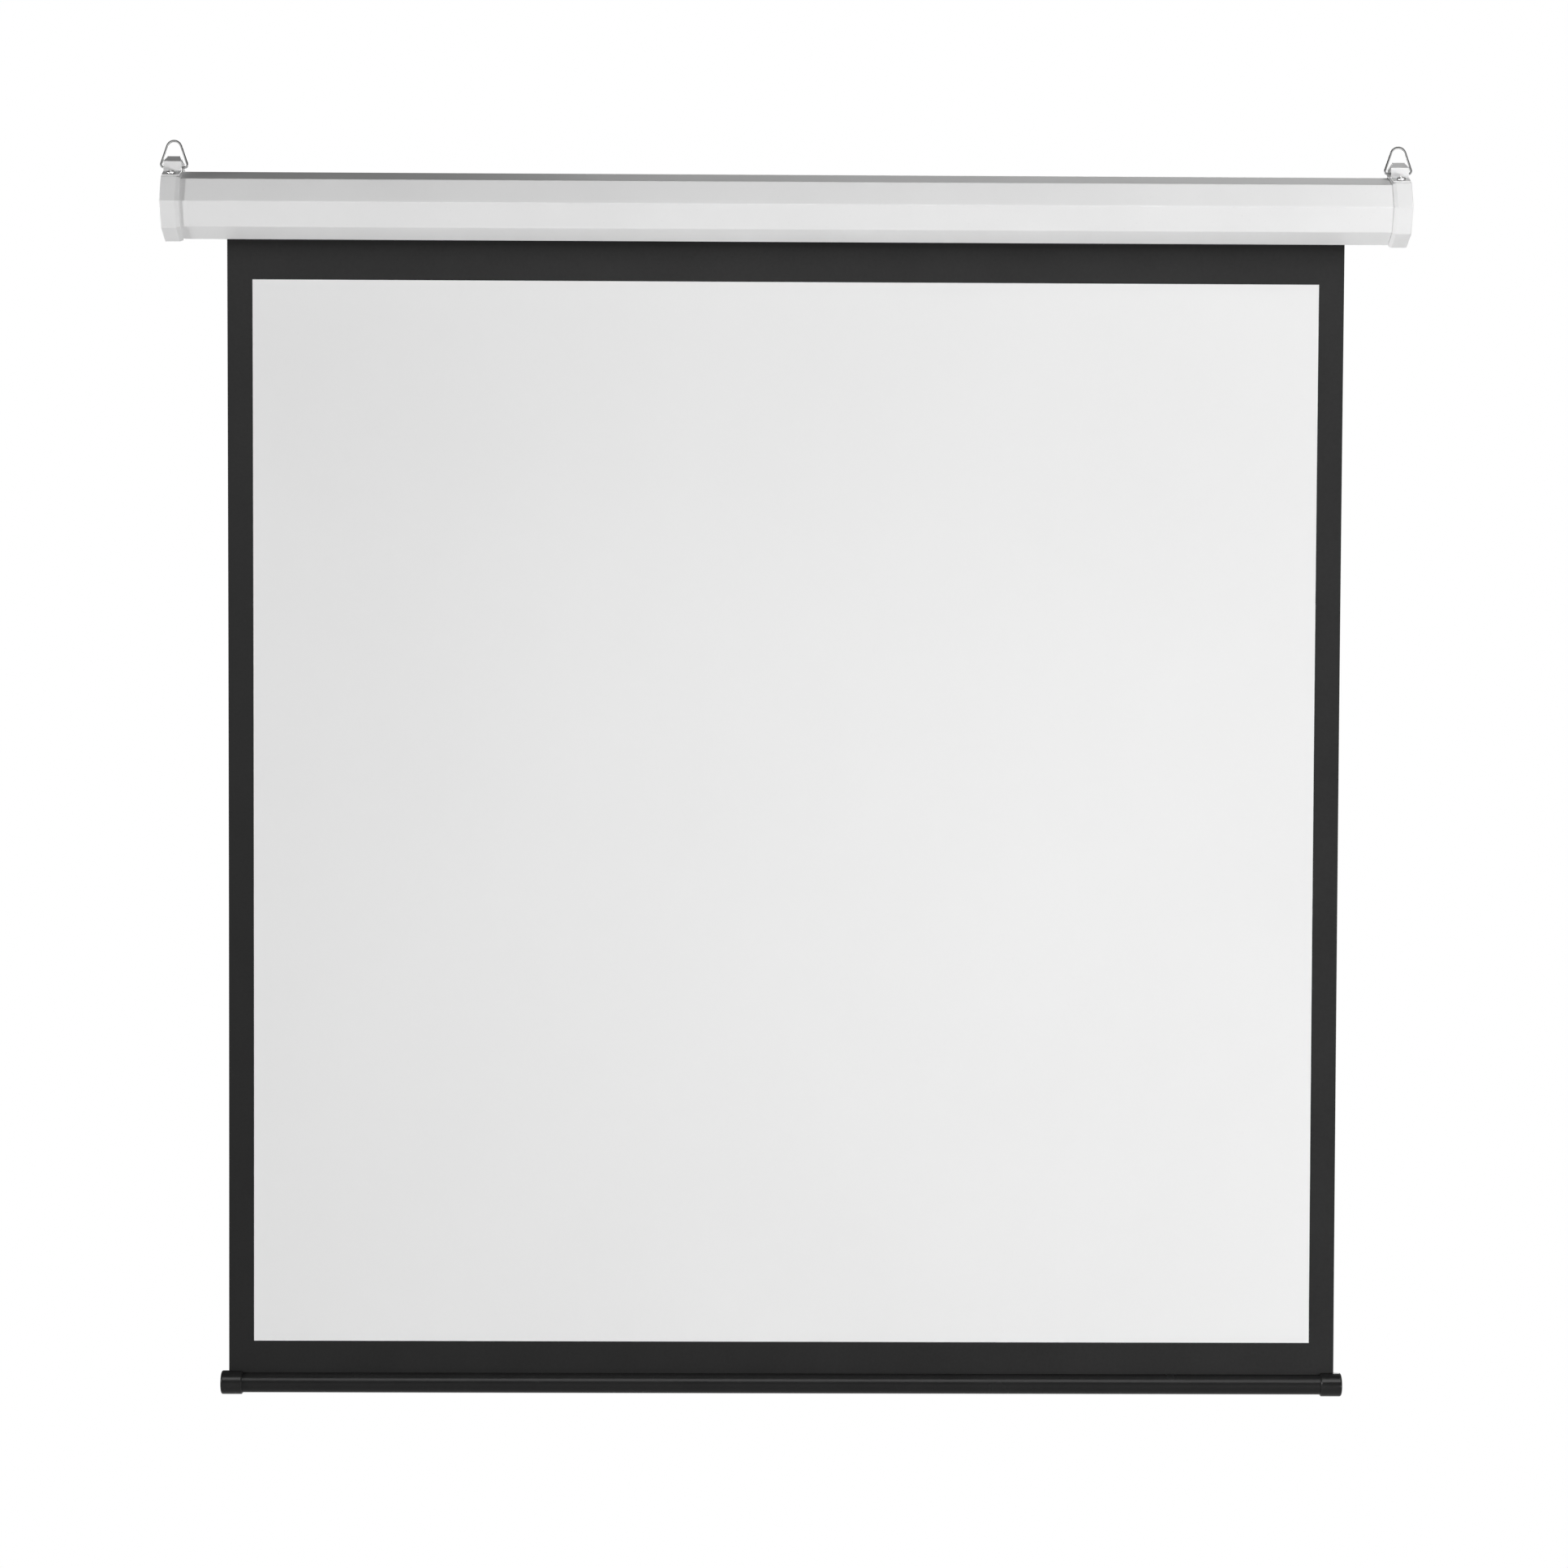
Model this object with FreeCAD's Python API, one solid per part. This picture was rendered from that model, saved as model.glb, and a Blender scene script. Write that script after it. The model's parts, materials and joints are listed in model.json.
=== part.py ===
import FreeCAD, Part
import math
import os

# Motorized projection screen, lowered.
# X runs along the case, -Y is the viewing side, +Z is up, millimetres.
# The model is drawn about the axis of the case and moved so that the origin is
# the middle of the hang line, which joins the inner tops of the two hang rings.

# Fabric
IMAGE_WIDTH = 1270.0
IMAGE_HEIGHT = 1270.0
SIDE_BORDER = 30.0
TOP_BORDER = 46.0
BOTTOM_BORDER = 38.5
BACKING_THICKNESS = 0.3
FACE_THICKNESS = 0.1
WRAPS_LEFT = 2
FABRIC_GAP = 0.3

# Case shell, a regular octagon with edges at the front, top, rear and bottom
CASE_FLATS = 73.4
CASE_WALL = 0.9
CASE_BEND = 2.0
CASE_BEND_INNER = 1.1
END_ROOM = 71.8
SLOT_FRONT_ROOM = 7.0
SLOT_REAR_ROOM = 7.0
SLOT_LIP = 7.0

# End caps
CAP_WALL = 2.5
CAP_FIT = 0.3
CAP_LENGTH = 22.5
CAP_LIP_LENGTH = 4.3
CAP_LIP_DROP = 1.6
CAP_END_WALL = 2.5
CAP_END_GAP = 0.5
CAP_CORNER = 1.5
CAP_EDGE = 1.2
PAD_RADIUS = 4.5

# End brackets
PLATE_THICKNESS = 2.0
PLATE_FIT = 0.3
FLANGE_DEPTH = 17.0
FLANGE_MARGIN = 1.5

# Hanger straps and rings
STRAP_THICKNESS = 1.5
STRAP_WIDTH = 21.0
STRAP_WAIST = 15.5
STRAP_SPAN = 28.0
STRAP_LEG = 13.2
STRAP_RISE = 8.0
STRAP_FOOT_MARGIN = 1.4
STRAP_FOOT_CORNER = 3.0
STRAP_BEND = 1.2
WAIST_FLAT = 6.0
RING_WIRE = 2.8
RING_WIDTH = 34.0
RING_HEIGHT = 33.9
RING_APEX_RADIUS = 8.6
RING_CORNER_RADIUS = 3.2
RING_SEAT_GAP = 0.3

# Fasteners
STRAP_SCREW_DIAMETER = 5.0
STRAP_SCREW_HEAD = 10.4
STRAP_SCREW_HEAD_HEIGHT = 3.0
STRAP_SCREW_OFFSET = 7.5
STRAP_NUT_FLATS = 8.0
STRAP_NUT_HEIGHT = 4.0
SCREW_END = 1.0
SMALL_SCREW_DIAMETER = 4.0
SMALL_SCREW_HEAD = 7.0
SMALL_SCREW_HEAD_HEIGHT = 1.8
HEAD_ROOM = 0.3
NUT_ROOM = 0.65
CAP_SCREW_OFFSET = 26.0
MOTOR_SCREW_OFFSET = 11.0
MOTOR_SCREW_DEPTH = 10.0
RECESS_WIDTH = 1.2
RECESS_DEPTH = 1.6
RECESS_SHARE = 0.55
HOLE_CLEARANCE = 0.25
THREAD_CLEARANCE = 0.05
FIT = 0.02
RUNNING_FIT = 0.05

# Roller
ROLLER_DIAMETER = 36.0
ROLLER_WALL = 1.2
ROLLER_FORWARD = 8.0
ROLLER_GAP = 2.0
CROWN_WALL = 1.75
CROWN_LENGTH = 16.0
CROWN_INSET = 1.0
IDLER_PIN_DIAMETER = 8.0
IDLER_PIN_DEPTH = 26.0
IDLER_PLUG_LENGTH = 30.0
IDLER_BUSH_WALL = 3.0
IDLER_BUSH_FLANGE = 3.0
IDLER_BUSH_FLANGE_WALL = 6.0
DRIVE_WHEEL_LENGTH = 30.0
RIVET_DIAMETER = 3.2
RIVET_LENGTH = 7.0
RIVETS_ROUND = 3
CLIP_WALL = 3.0
CLIP_THICKNESS = 1.5
NECK_DIAMETER = 5.0
NECK_LENGTH = 6.0

# Motor, inside the left end of the roller
HEAD_LENGTH = 26.0
HEAD_DIAMETER = 34.0
SPIGOT_LENGTH = 14.0
MOTOR_TUBE_WALL = 1.0
MOTOR_GAP = 4.0
CAPACITOR_LENGTH = 60.0
CAPACITOR_SKIN = 1.0
SHIELD_THICKNESS = 8.0
BEARING_WIDTH = 6.0
BEARING_WALL = 4.0
STATOR_LENGTH = 80.0
STATOR_WALL = 5.0
WINDING_LENGTH = 10.0
WINDING_INSET = 1.2
AIR_GAP = 0.4
ROTOR_SHAFT_DIAMETER = 5.0
SUN_TEETH = 12
PLANET_TEETH = 15
PLANET_COUNT = 3
RING_GEAR_WALL = 1.4
GEAR_FACE = 12.0
GEAR_GAP = 1.0
GEAR_BACKLASH = 0.12
PRESSURE_ANGLE = 20.0
TOOTH_TIP_SHARE = 0.8
TOOTH_ROOT_SHARE = 1.2
FLANK_POINTS = 4
PLANET_PIN_DIAMETER = 2.6
CARRIER_THICKNESS = 5.0
CARRIER_RIM_GAP = 0.6
OUTPUT_SHAFT_DIAMETER = 10.0
OUTPUT_SHAFT_REACH = 40.0
OUTPUT_PLUG_LENGTH = 16.0
LIMIT_SCREW_DIAMETER = 5.0
LIMIT_SCREW_DEPTH = 7.0
LIMIT_SCREW_STAND = 0.6
LIMIT_SCREW_PITCH = 9.0
LIMIT_SCREW_SLOT = 0.9
LIMIT_SCREW_ANGLE = -60.0

# Supply entry, terminal block and motor lead, at the motor end
GLAND_BORE = 7.2
GLAND_BARREL_WALL = 2.0
GLAND_FLANGE = 18.0
GLAND_FLANGE_THICKNESS = 4.0
GLAND_NUT_FLATS = 16.0
GLAND_NUT_THICKNESS = 4.5
GLAND_ACROSS = 15.0
GLAND_BELOW = 14.0
GLAND_ROOM = 1.5
BLOCK_LENGTH = 14.0
BLOCK_DEPTH = 13.0
BLOCK_HEIGHT = 12.0
BLOCK_ACROSS = 22.0
BLOCK_ABOVE = 9.0
BLOCK_HOLES = 3
BLOCK_HOLE_DIAMETER = 2.4
BLOCK_HOLE_DEPTH = 5.0
LEAD_DIAMETER = 4.0
LEAD_BEND = 7.0
LEAD_GAP = 0.1

# Bottom bar
BAR_DIAMETER = 24.0
BAR_WALL = 1.2
BAR_CAP_WALL = 2.1
BAR_CAP_LENGTH = 25.5
BAR_CAP_END = 3.0
BAR_CAP_OVERHANG = 9.0
BAR_CAP_FILLET = 2.2
BAR_CAP_CHAMFER = 1.2
BAR_SLIT = 1.6
BAR_SLIT_ROOM = 1.0
HEM_ROD_DIAMETER = 5.0
HEM_WALL = 0.5
HEM_GAP = 0.1

# Derived sizes and places
FACET_TILT = 180.0 / 8
HALF_FACET = math.radians(FACET_TILT)
FABRIC_WIDTH = IMAGE_WIDTH + 2 * SIDE_BORDER
FABRIC_THICKNESS = BACKING_THICKNESS + FACE_THICKNESS
OVERALL_LENGTH = FABRIC_WIDTH + 2 * END_ROOM
X_END = OVERALL_LENGTH / 2
X_CAP_WALL = X_END - CAP_END_WALL
X_CASE = X_CAP_WALL - CAP_END_GAP
X_PLATE_OUT = X_CAP_WALL - SMALL_SCREW_HEAD_HEIGHT - HEAD_ROOM
X_PLATE_IN = X_PLATE_OUT - PLATE_THICKNESS
X_STRAP = X_PLATE_IN - NUT_ROOM - STRAP_NUT_FLATS / 2
X_ROLLER = X_PLATE_IN - HEAD_LENGTH - ROLLER_GAP

CASE_APOTHEM = CASE_FLATS / 2
CASE_INNER_APOTHEM = CASE_APOTHEM - CASE_WALL
CASE_EDGE = CASE_APOTHEM / math.cos(HALF_FACET)
CAP_INNER_APOTHEM = CASE_APOTHEM + CAP_FIT
CAP_APOTHEM = CAP_INNER_APOTHEM + CAP_WALL
CAP_RIDGE = CAP_APOTHEM / math.cos(HALF_FACET)
PLATE_APOTHEM = CASE_INNER_APOTHEM - PLATE_FIT
FLANGE_INNER = PLATE_APOTHEM - PLATE_THICKNESS

ROLLER_Y = -ROLLER_FORWARD
ROLLER_RADIUS = ROLLER_DIAMETER / 2
ROLLER_BORE = ROLLER_RADIUS - ROLLER_WALL
WRAP_RADIUS = ROLLER_RADIUS + WRAPS_LEFT * FABRIC_THICKNESS
FABRIC_FRONT = ROLLER_Y + WRAP_RADIUS + FABRIC_GAP
FABRIC_REAR = FABRIC_FRONT + FABRIC_THICKNESS
FABRIC_MIDDLE = (FABRIC_FRONT + FABRIC_REAR) / 2

IMAGE_TOP = -CASE_EDGE - TOP_BORDER
IMAGE_BOTTOM = IMAGE_TOP - IMAGE_HEIGHT
BAR_RADIUS = BAR_DIAMETER / 2
BAR_TOP = IMAGE_BOTTOM - BOTTOM_BORDER
BAR_Z = BAR_TOP - BAR_RADIUS
BAR_BORE = BAR_RADIUS - BAR_WALL
FABRIC_END = BAR_Z + BAR_BORE + HEM_GAP

RING_BAR_Z = CAP_RIDGE + RING_SEAT_GAP + RING_WIRE / 2
HANG_Z = RING_BAR_Z - RING_WIRE / 2 + RING_HEIGHT - RING_WIRE

MOTOR_RADIUS = ROLLER_BORE - CROWN_WALL
MOTOR_BORE = MOTOR_RADIUS - MOTOR_TUBE_WALL
STATOR_BORE = MOTOR_BORE - FIT - STATOR_WALL
ROTOR_RADIUS = STATOR_BORE - AIR_GAP
RING_GEAR_TEETH = SUN_TEETH + 2 * PLANET_TEETH
GEAR_ROOT = MOTOR_BORE - FIT - RING_GEAR_WALL
GEAR_MODULE = GEAR_ROOT / (RING_GEAR_TEETH / 2 + TOOTH_ROOT_SHARE)
GEAR_CENTRES = GEAR_MODULE * (SUN_TEETH + PLANET_TEETH) / 2
RING_GEAR_TIP = GEAR_MODULE * (RING_GEAR_TEETH / 2 - TOOTH_TIP_SHARE)

FRONT = 1
REAR = -1
LEFT = -1
RIGHT = 1

os.makedirs("parts", exist_ok=True)


def vec(x, y, z):
    return FreeCAD.Vector(x, y, z)


ORIGIN = vec(0, 0, 0)
ALONG_X = vec(1, 0, 0)
ALONG_Y = vec(0, 1, 0)
ALONG_Z = vec(0, 0, 1)
MIRROR_NORMAL = ALONG_X


def save(name, *shapes):
    """Move shapes to the part's frame and write them as one node."""
    moved = []
    for shape in shapes:
        copy = shape.copy()
        copy.translate(vec(0, 0, -HANG_Z))
        moved.append(copy)
    whole = moved[0] if len(moved) == 1 else Part.makeCompound(moved)
    whole.exportStep("parts/" + name + ".step")


def mirrored(shape):
    """The other end's copy of a shape."""
    return shape.mirror(ORIGIN, MIRROR_NORMAL)


def rod(radius, x0, x1, y=0.0, z=0.0):
    """Round bar along X between two stations."""
    return Part.makeCylinder(radius, abs(x1 - x0), vec(min(x0, x1), y, z), ALONG_X)


def tube(outer, inner, x0, x1, y=0.0, z=0.0):
    return rod(outer, x0, x1, y, z).cut(rod(inner, x0, x1, y, z))


def block(x0, x1, y0, y1, z0, z1):
    size = (abs(x1 - x0), abs(y1 - y0), abs(z1 - z0))
    return Part.makeBox(*size, vec(min(x0, x1), min(y0, y1), min(z0, z1)))


def prism(points, x0, x1):
    """Closed (y, z) outline drawn out along X."""
    corners = [vec(x0, y, z) for y, z in points]
    outline = Part.makePolygon(corners + corners[:1])
    return Part.Face(outline).extrude(vec(x1 - x0, 0, 0))


def hexagon(flats, x0, x1, y=0.0, z=0.0):
    corner = flats / 2 / math.cos(math.pi / 6)
    turns = [math.pi / 3 * k for k in range(6)]
    return prism([(y + corner * math.cos(t), z + corner * math.sin(t)) for t in turns], x0, x1)


def octagon(apothem, corner, x):
    """Octagon outline with rounded corners, at one station along X."""
    reach = apothem / math.cos(HALF_FACET)
    back = corner * math.tan(HALF_FACET)
    inset = corner * (1 / math.cos(HALF_FACET) - 1)
    side = 2 * apothem * math.tan(HALF_FACET)
    tips = [2 * HALF_FACET * k for k in range(8)]
    points = [vec(x, reach * math.cos(t), reach * math.sin(t)) for t in tips]
    edges = []
    for k, tip in enumerate(points):
        after = points[(k + 1) % 8]
        before = points[k - 1]
        start = tip + (before - tip) * (back / side)
        end = tip + (after - tip) * (back / side)
        middle = vec(x, tip.y * (1 - inset / reach), tip.z * (1 - inset / reach))
        next_start = after + (tip - after) * (back / side)
        edges.append(Part.Arc(start, middle, end).toShape())
        edges.append(Part.LineSegment(end, next_start).toShape())
    return Part.Wire(edges)


def octagon_bar(apothem, corner, x0, x1):
    return Part.Face(octagon(apothem, corner, x0)).extrude(vec(x1 - x0, 0, 0))


def on_facet(shape, side):
    """Turn a shape drawn on a level top onto the front or rear top facet."""
    copy = shape.copy()
    copy.rotate(ORIGIN, ALONG_X, side * FACET_TILT)
    return copy


def facet_rod(radius, x, along, low, high, side):
    """Round bar square to a top facet, between two distances from the case axis."""
    bar = Part.makeCylinder(radius, high - low, vec(x, side * along, low), ALONG_Z)
    return on_facet(bar, side)


def edges_along_x(shape, places, reach):
    """Edges along X that pass within reach of the given (y, z) places."""
    found = []
    for edge in shape.Edges:
        if len(edge.Vertexes) != 2:
            continue
        a = edge.Vertexes[0].Point
        b = edge.Vertexes[1].Point
        straight = abs(a.y - b.y) < FIT and abs(a.z - b.z) < FIT
        if straight and any(math.hypot(a.y - y, a.z - z) < reach for y, z in places):
            found.append(edge)
    return found


def cross_recess(x, y, top):
    """Cross-shaped driver recess in a head whose top is at the given height."""
    reach = STRAP_SCREW_HEAD * RECESS_SHARE / 2
    half = RECESS_WIDTH / 2
    low = top - RECESS_DEPTH
    one = block(x - reach, x + reach, y - half, y + half, low, top)
    other = block(x - half, x + half, y - reach, y + reach, low, top)
    return one.fuse(other)


# Hanging fabric: black backing with its border, and the white viewing surface
half_fabric = FABRIC_WIDTH / 2
half_image = IMAGE_WIDTH / 2
face_rear = FABRIC_FRONT + FACE_THICKNESS
save("fabric_backing", block(-half_fabric, half_fabric, face_rear, FABRIC_REAR, FABRIC_END, 0.0))
save("viewing_surface", block(-half_image, half_image, FABRIC_FRONT, face_rear, IMAGE_BOTTOM, IMAGE_TOP))


# Case shell with the fabric slot and its two upturned lips
shell = octagon_bar(CASE_APOTHEM, CASE_BEND, -X_CASE, X_CASE)
shell = shell.cut(octagon_bar(CASE_INNER_APOTHEM, CASE_BEND_INNER, -X_CASE, X_CASE))
slot_front = FABRIC_FRONT - SLOT_FRONT_ROOM
slot_rear = FABRIC_REAR + SLOT_REAR_ROOM


def underside(y):
    """Height of the outer face of the bottom rear facet."""
    return -CASE_EDGE + y * math.tan(HALF_FACET)


def lip(y0, y1):
    """Upturned edge of the slot, from inside the sheet up into the case."""
    foot = underside(y1) + CASE_WALL / 2
    return block(-X_CASE, X_CASE, y0, y1, foot, foot + SLOT_LIP)


shell = shell.cut(block(-X_CASE, X_CASE, slot_front, slot_rear, -CASE_EDGE, -CASE_EDGE / 2))
shell = shell.fuse(lip(slot_front - CASE_WALL, slot_front))
shell = shell.fuse(lip(slot_rear, slot_rear + CASE_WALL))
shell = shell.removeSplitter()
strap_hole = STRAP_SCREW_DIAMETER / 2 + HOLE_CLEARANCE
hole_low = FLANGE_INNER - STRAP_NUT_HEIGHT
hole_high = CAP_APOTHEM + STRAP_THICKNESS + STRAP_SCREW_HEAD_HEIGHT
strap_holes = []
for end in (LEFT, RIGHT):
    for side in (FRONT, REAR):
        strap_holes.append(
            facet_rod(strap_hole, end * X_STRAP, -STRAP_SCREW_OFFSET, hole_low, hole_high, side))
for hole in strap_holes:
    shell = shell.cut(hole)
save("case_shell", shell)


# End caps: octagonal cups over the case ends, with a chamfered lip
x_lip = X_END - CAP_LENGTH
x_band = x_lip + CAP_LIP_LENGTH
band = octagon_bar(CAP_APOTHEM, CAP_CORNER, x_band, X_END)
rim = [e for e in band.Edges if all(abs(v.Point.x - X_END) < FIT for v in e.Vertexes)]
band = band.makeFillet(CAP_EDGE, rim)
lip_edge = octagon(CAP_APOTHEM - CAP_LIP_DROP, CAP_CORNER, x_lip)
lip_foot = octagon(CAP_APOTHEM, CAP_CORNER, x_band)
cap = band.fuse(Part.makeLoft([lip_edge, lip_foot], True, True))
cap = cap.cut(octagon_bar(CAP_INNER_APOTHEM, CASE_BEND, x_lip, X_CAP_WALL))
small_hole = SMALL_SCREW_DIAMETER / 2 + HOLE_CLEARANCE
cap_screw_heights = (CAP_SCREW_OFFSET, -CAP_SCREW_OFFSET)
for height in cap_screw_heights:
    cap = cap.fuse(rod(PAD_RADIUS, X_PLATE_OUT, X_CAP_WALL, 0.0, height))
cap = cap.removeSplitter()
for height in cap_screw_heights:
    cap = cap.cut(rod(small_hole, X_PLATE_OUT, X_END, 0.0, height))
for hole in strap_holes:
    cap = cap.cut(hole)
save("end_cap_right", cap)
gland_barrel = GLAND_BORE / 2 + GLAND_BARREL_WALL
left_cap = mirrored(cap)
left_cap = left_cap.cut(rod(gland_barrel + FIT, -X_END, -X_CAP_WALL, GLAND_ACROSS, -GLAND_BELOW))
save("end_cap_left", left_cap)


# End brackets: a plate in each case end with a flange under each strap foot
plate = octagon_bar(PLATE_APOTHEM, CASE_BEND_INNER, X_PLATE_IN, X_PLATE_OUT)
flange_half = PLATE_APOTHEM * math.tan(HALF_FACET) - FLANGE_MARGIN
for side in (FRONT, REAR):
    flange = block(
        X_PLATE_IN - FLANGE_DEPTH, X_PLATE_OUT, -flange_half, flange_half, FLANGE_INNER, PLATE_APOTHEM)
    plate = plate.fuse(on_facet(flange, side))
plate = plate.removeSplitter()
notch_top = underside(slot_rear + CASE_WALL) + SLOT_LIP + CASE_WALL
plate = plate.cut(block(
    X_PLATE_IN, X_PLATE_OUT, slot_front - CASE_WALL - PLATE_FIT, slot_rear + CASE_WALL + PLATE_FIT,
    -CASE_EDGE, notch_top))
thread_hole = SMALL_SCREW_DIAMETER / 2 + THREAD_CLEARANCE
for height in cap_screw_heights:
    plate = plate.cut(rod(thread_hole, X_PLATE_IN, X_PLATE_OUT, 0.0, height))
for hole in strap_holes:
    plate = plate.cut(hole)
pin_radius = IDLER_PIN_DIAMETER / 2
bush_bore = pin_radius + RUNNING_FIT
bush_radius = bush_bore + IDLER_BUSH_WALL
idler_plate = plate.cut(rod(bush_radius + FIT, X_PLATE_IN, X_PLATE_OUT, ROLLER_Y))
save("idler_bracket", idler_plate)
motor_plate = mirrored(plate)
gland_nut_corner = GLAND_NUT_FLATS / 2 / math.cos(math.pi / 6)
motor_plate = motor_plate.cut(
    rod(gland_nut_corner + GLAND_ROOM, -X_PLATE_OUT, -X_PLATE_IN, GLAND_ACROSS, -GLAND_BELOW))
motor_screw_heights = (MOTOR_SCREW_OFFSET, -MOTOR_SCREW_OFFSET)
for height in motor_screw_heights:
    motor_plate = motor_plate.cut(rod(small_hole, -X_PLATE_OUT, -X_PLATE_IN, ROLLER_Y, height))
save("motor_bracket", motor_plate)


# Fasteners of the straps, caps and motor head
foot_top = CAP_APOTHEM + STRAP_THICKNESS
screw_low = FLANGE_INNER - STRAP_NUT_HEIGHT - SCREW_END


def strap_screw(x, side):
    """Pan-head screw through a strap foot, the cap, the case and the bracket flange."""
    y = -side * STRAP_SCREW_OFFSET
    head = Part.makeCylinder(STRAP_SCREW_HEAD / 2, STRAP_SCREW_HEAD_HEIGHT, vec(x, y, foot_top), ALONG_Z)
    top = foot_top + STRAP_SCREW_HEAD_HEIGHT
    crown = [e for e in head.Edges if len(e.Vertexes) == 1 and abs(e.Vertexes[0].Point.z - top) < FIT]
    head = head.makeFillet(STRAP_SCREW_HEAD_HEIGHT / 2, crown)
    shank = Part.makeCylinder(STRAP_SCREW_DIAMETER / 2, foot_top - screw_low, vec(x, y, screw_low), ALONG_Z)
    return on_facet(head.fuse(shank).cut(cross_recess(x, y, top)), side)


def strap_nut(x, side):
    """Hexagon nut under a bracket flange."""
    y = -side * STRAP_SCREW_OFFSET
    nut = hexagon(STRAP_NUT_FLATS, 0.0, STRAP_NUT_HEIGHT)
    nut = nut.cut(rod(STRAP_SCREW_DIAMETER / 2 + THREAD_CLEARANCE, 0.0, STRAP_NUT_HEIGHT))
    nut.rotate(ORIGIN, ALONG_Y, 90)
    nut.translate(vec(x, y, FLANGE_INNER))
    return on_facet(nut, side)


ends_and_sides = [(end, side) for end in (LEFT, RIGHT) for side in (FRONT, REAR)]
save("strap_screws", *[strap_screw(end * X_STRAP, side) for end, side in ends_and_sides])
save("strap_nuts", *[strap_nut(end * X_STRAP, side) for end, side in ends_and_sides])


def small_screw(seat, tip, y, z):
    """Round-head screw along X, its head outside the seat at the end of the case."""
    outward = 1 if seat > tip else -1
    head_top = seat + outward * SMALL_SCREW_HEAD_HEIGHT
    head = rod(SMALL_SCREW_HEAD / 2, seat, head_top, y, z)
    crown = [e for e in head.Edges if len(e.Vertexes) == 1 and abs(e.Vertexes[0].Point.x - head_top) < FIT]
    head = head.makeFillet(SMALL_SCREW_HEAD_HEIGHT / 2, crown)
    slot = block(
        head_top - outward * SMALL_SCREW_HEAD_HEIGHT / 2, head_top,
        y - RECESS_WIDTH / 2, y + RECESS_WIDTH / 2, z - SMALL_SCREW_HEAD / 2, z + SMALL_SCREW_HEAD / 2)
    return head.cut(slot).fuse(rod(SMALL_SCREW_DIAMETER / 2, tip, seat, y, z))


cap_screws = []
for end in (LEFT, RIGHT):
    for height in cap_screw_heights:
        cap_screws.append(small_screw(end * X_END, end * (X_PLATE_IN - SCREW_END), 0.0, height))
save("cap_screws", *cap_screws)
motor_screw_tip = -X_PLATE_IN + MOTOR_SCREW_DEPTH
motor_screws = [small_screw(-X_PLATE_OUT, motor_screw_tip, ROLLER_Y, h) for h in motor_screw_heights]
save("motor_screws", *motor_screws)


# Hanger straps: two feet on the cap's top facets, two legs and a ridged top
half_span = STRAP_SPAN / 2
inner_span = half_span - STRAP_THICKNESS
slope = math.tan(HALF_FACET)
facet_lift = STRAP_THICKNESS / math.cos(HALF_FACET)
leg_foot = CAP_RIDGE - half_span * slope
leg_top = leg_foot + STRAP_LEG
ridge_top = leg_top + STRAP_RISE
roof_slope = STRAP_RISE / half_span
roof_lift = STRAP_THICKNESS * math.hypot(1, roof_slope)
ridge_under = ridge_top - roof_lift
tip_along = CAP_APOTHEM * math.tan(HALF_FACET) - STRAP_FOOT_MARGIN


def facet_point(along, height):
    """(y, z) of a place on the front top facet, at a distance from the case axis."""
    y = -along * math.cos(HALF_FACET) - height * math.sin(HALF_FACET)
    z = -along * math.sin(HALF_FACET) + height * math.cos(HALF_FACET)
    return y, z


front_profile = [
    facet_point(tip_along, foot_top),
    facet_point(tip_along, CAP_APOTHEM),
    (-inner_span, CAP_RIDGE - inner_span * slope),
    (-inner_span, ridge_under - inner_span * roof_slope),
    (0.0, ridge_under),
]
under = front_profile + [(-y, z) for y, z in reversed(front_profile[:-1])]
over_front = [
    (-half_span, leg_foot + facet_lift),
    (-half_span, leg_top),
    (0.0, ridge_top),
]
over = [(-y, z) for y, z in over_front[:-1]] + list(reversed(over_front))
x_strap_in = X_STRAP - STRAP_WIDTH / 2
x_strap_out = X_STRAP + STRAP_WIDTH / 2
strap = prism(under + over, x_strap_in, x_strap_out)
inner_bends = [(sign * inner_span, ridge_under - inner_span * roof_slope) for sign in (-1, 1)]
inner_bends += [(sign * half_span, leg_foot + facet_lift) for sign in (-1, 1)] + [(0.0, ridge_under)]
outer_bends = [(sign * half_span, leg_top) for sign in (-1, 1)] + [(0.0, ridge_top)]
strap = strap.makeFillet(STRAP_BEND, edges_along_x(strap, inner_bends, FIT))
outer_bend = STRAP_BEND + STRAP_THICKNESS
strap = strap.makeFillet(outer_bend, edges_along_x(strap, outer_bends, FIT))
waist_low = RING_BAR_Z
for outward in (-1, 1):
    waist_edge = X_STRAP + outward * STRAP_WAIST / 2
    strap_edge = X_STRAP + outward * STRAP_WIDTH / 2
    corners = [
        vec(strap_edge, -inner_span, waist_low),
        vec(waist_edge, -WAIST_FLAT / 2, waist_low),
        vec(waist_edge, WAIST_FLAT / 2, waist_low),
        vec(strap_edge, inner_span, waist_low),
    ]
    outline = Part.makePolygon(corners + corners[:1])
    strap = strap.cut(Part.Face(outline).extrude(vec(0, 0, ridge_top - waist_low)))
foot_corners = []
for edge in strap.Edges:
    if len(edge.Vertexes) != 2:
        continue
    a = edge.Vertexes[0].Point
    b = edge.Vertexes[1].Point
    tip_reach = abs(facet_point(tip_along, foot_top)[0])
    at_tip = abs(a.y) > tip_reach - STRAP_THICKNESS and abs(b.y) > tip_reach - STRAP_THICKNESS
    if at_tip and abs(a.x - b.x) < FIT and abs(edge.Length - STRAP_THICKNESS) < FIT:
        foot_corners.append(edge)
strap = strap.makeFillet(STRAP_FOOT_CORNER, foot_corners)
for hole in strap_holes:
    strap = strap.cut(hole)
save("hanger_strap_right", strap)
save("hanger_strap_left", mirrored(strap))


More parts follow.
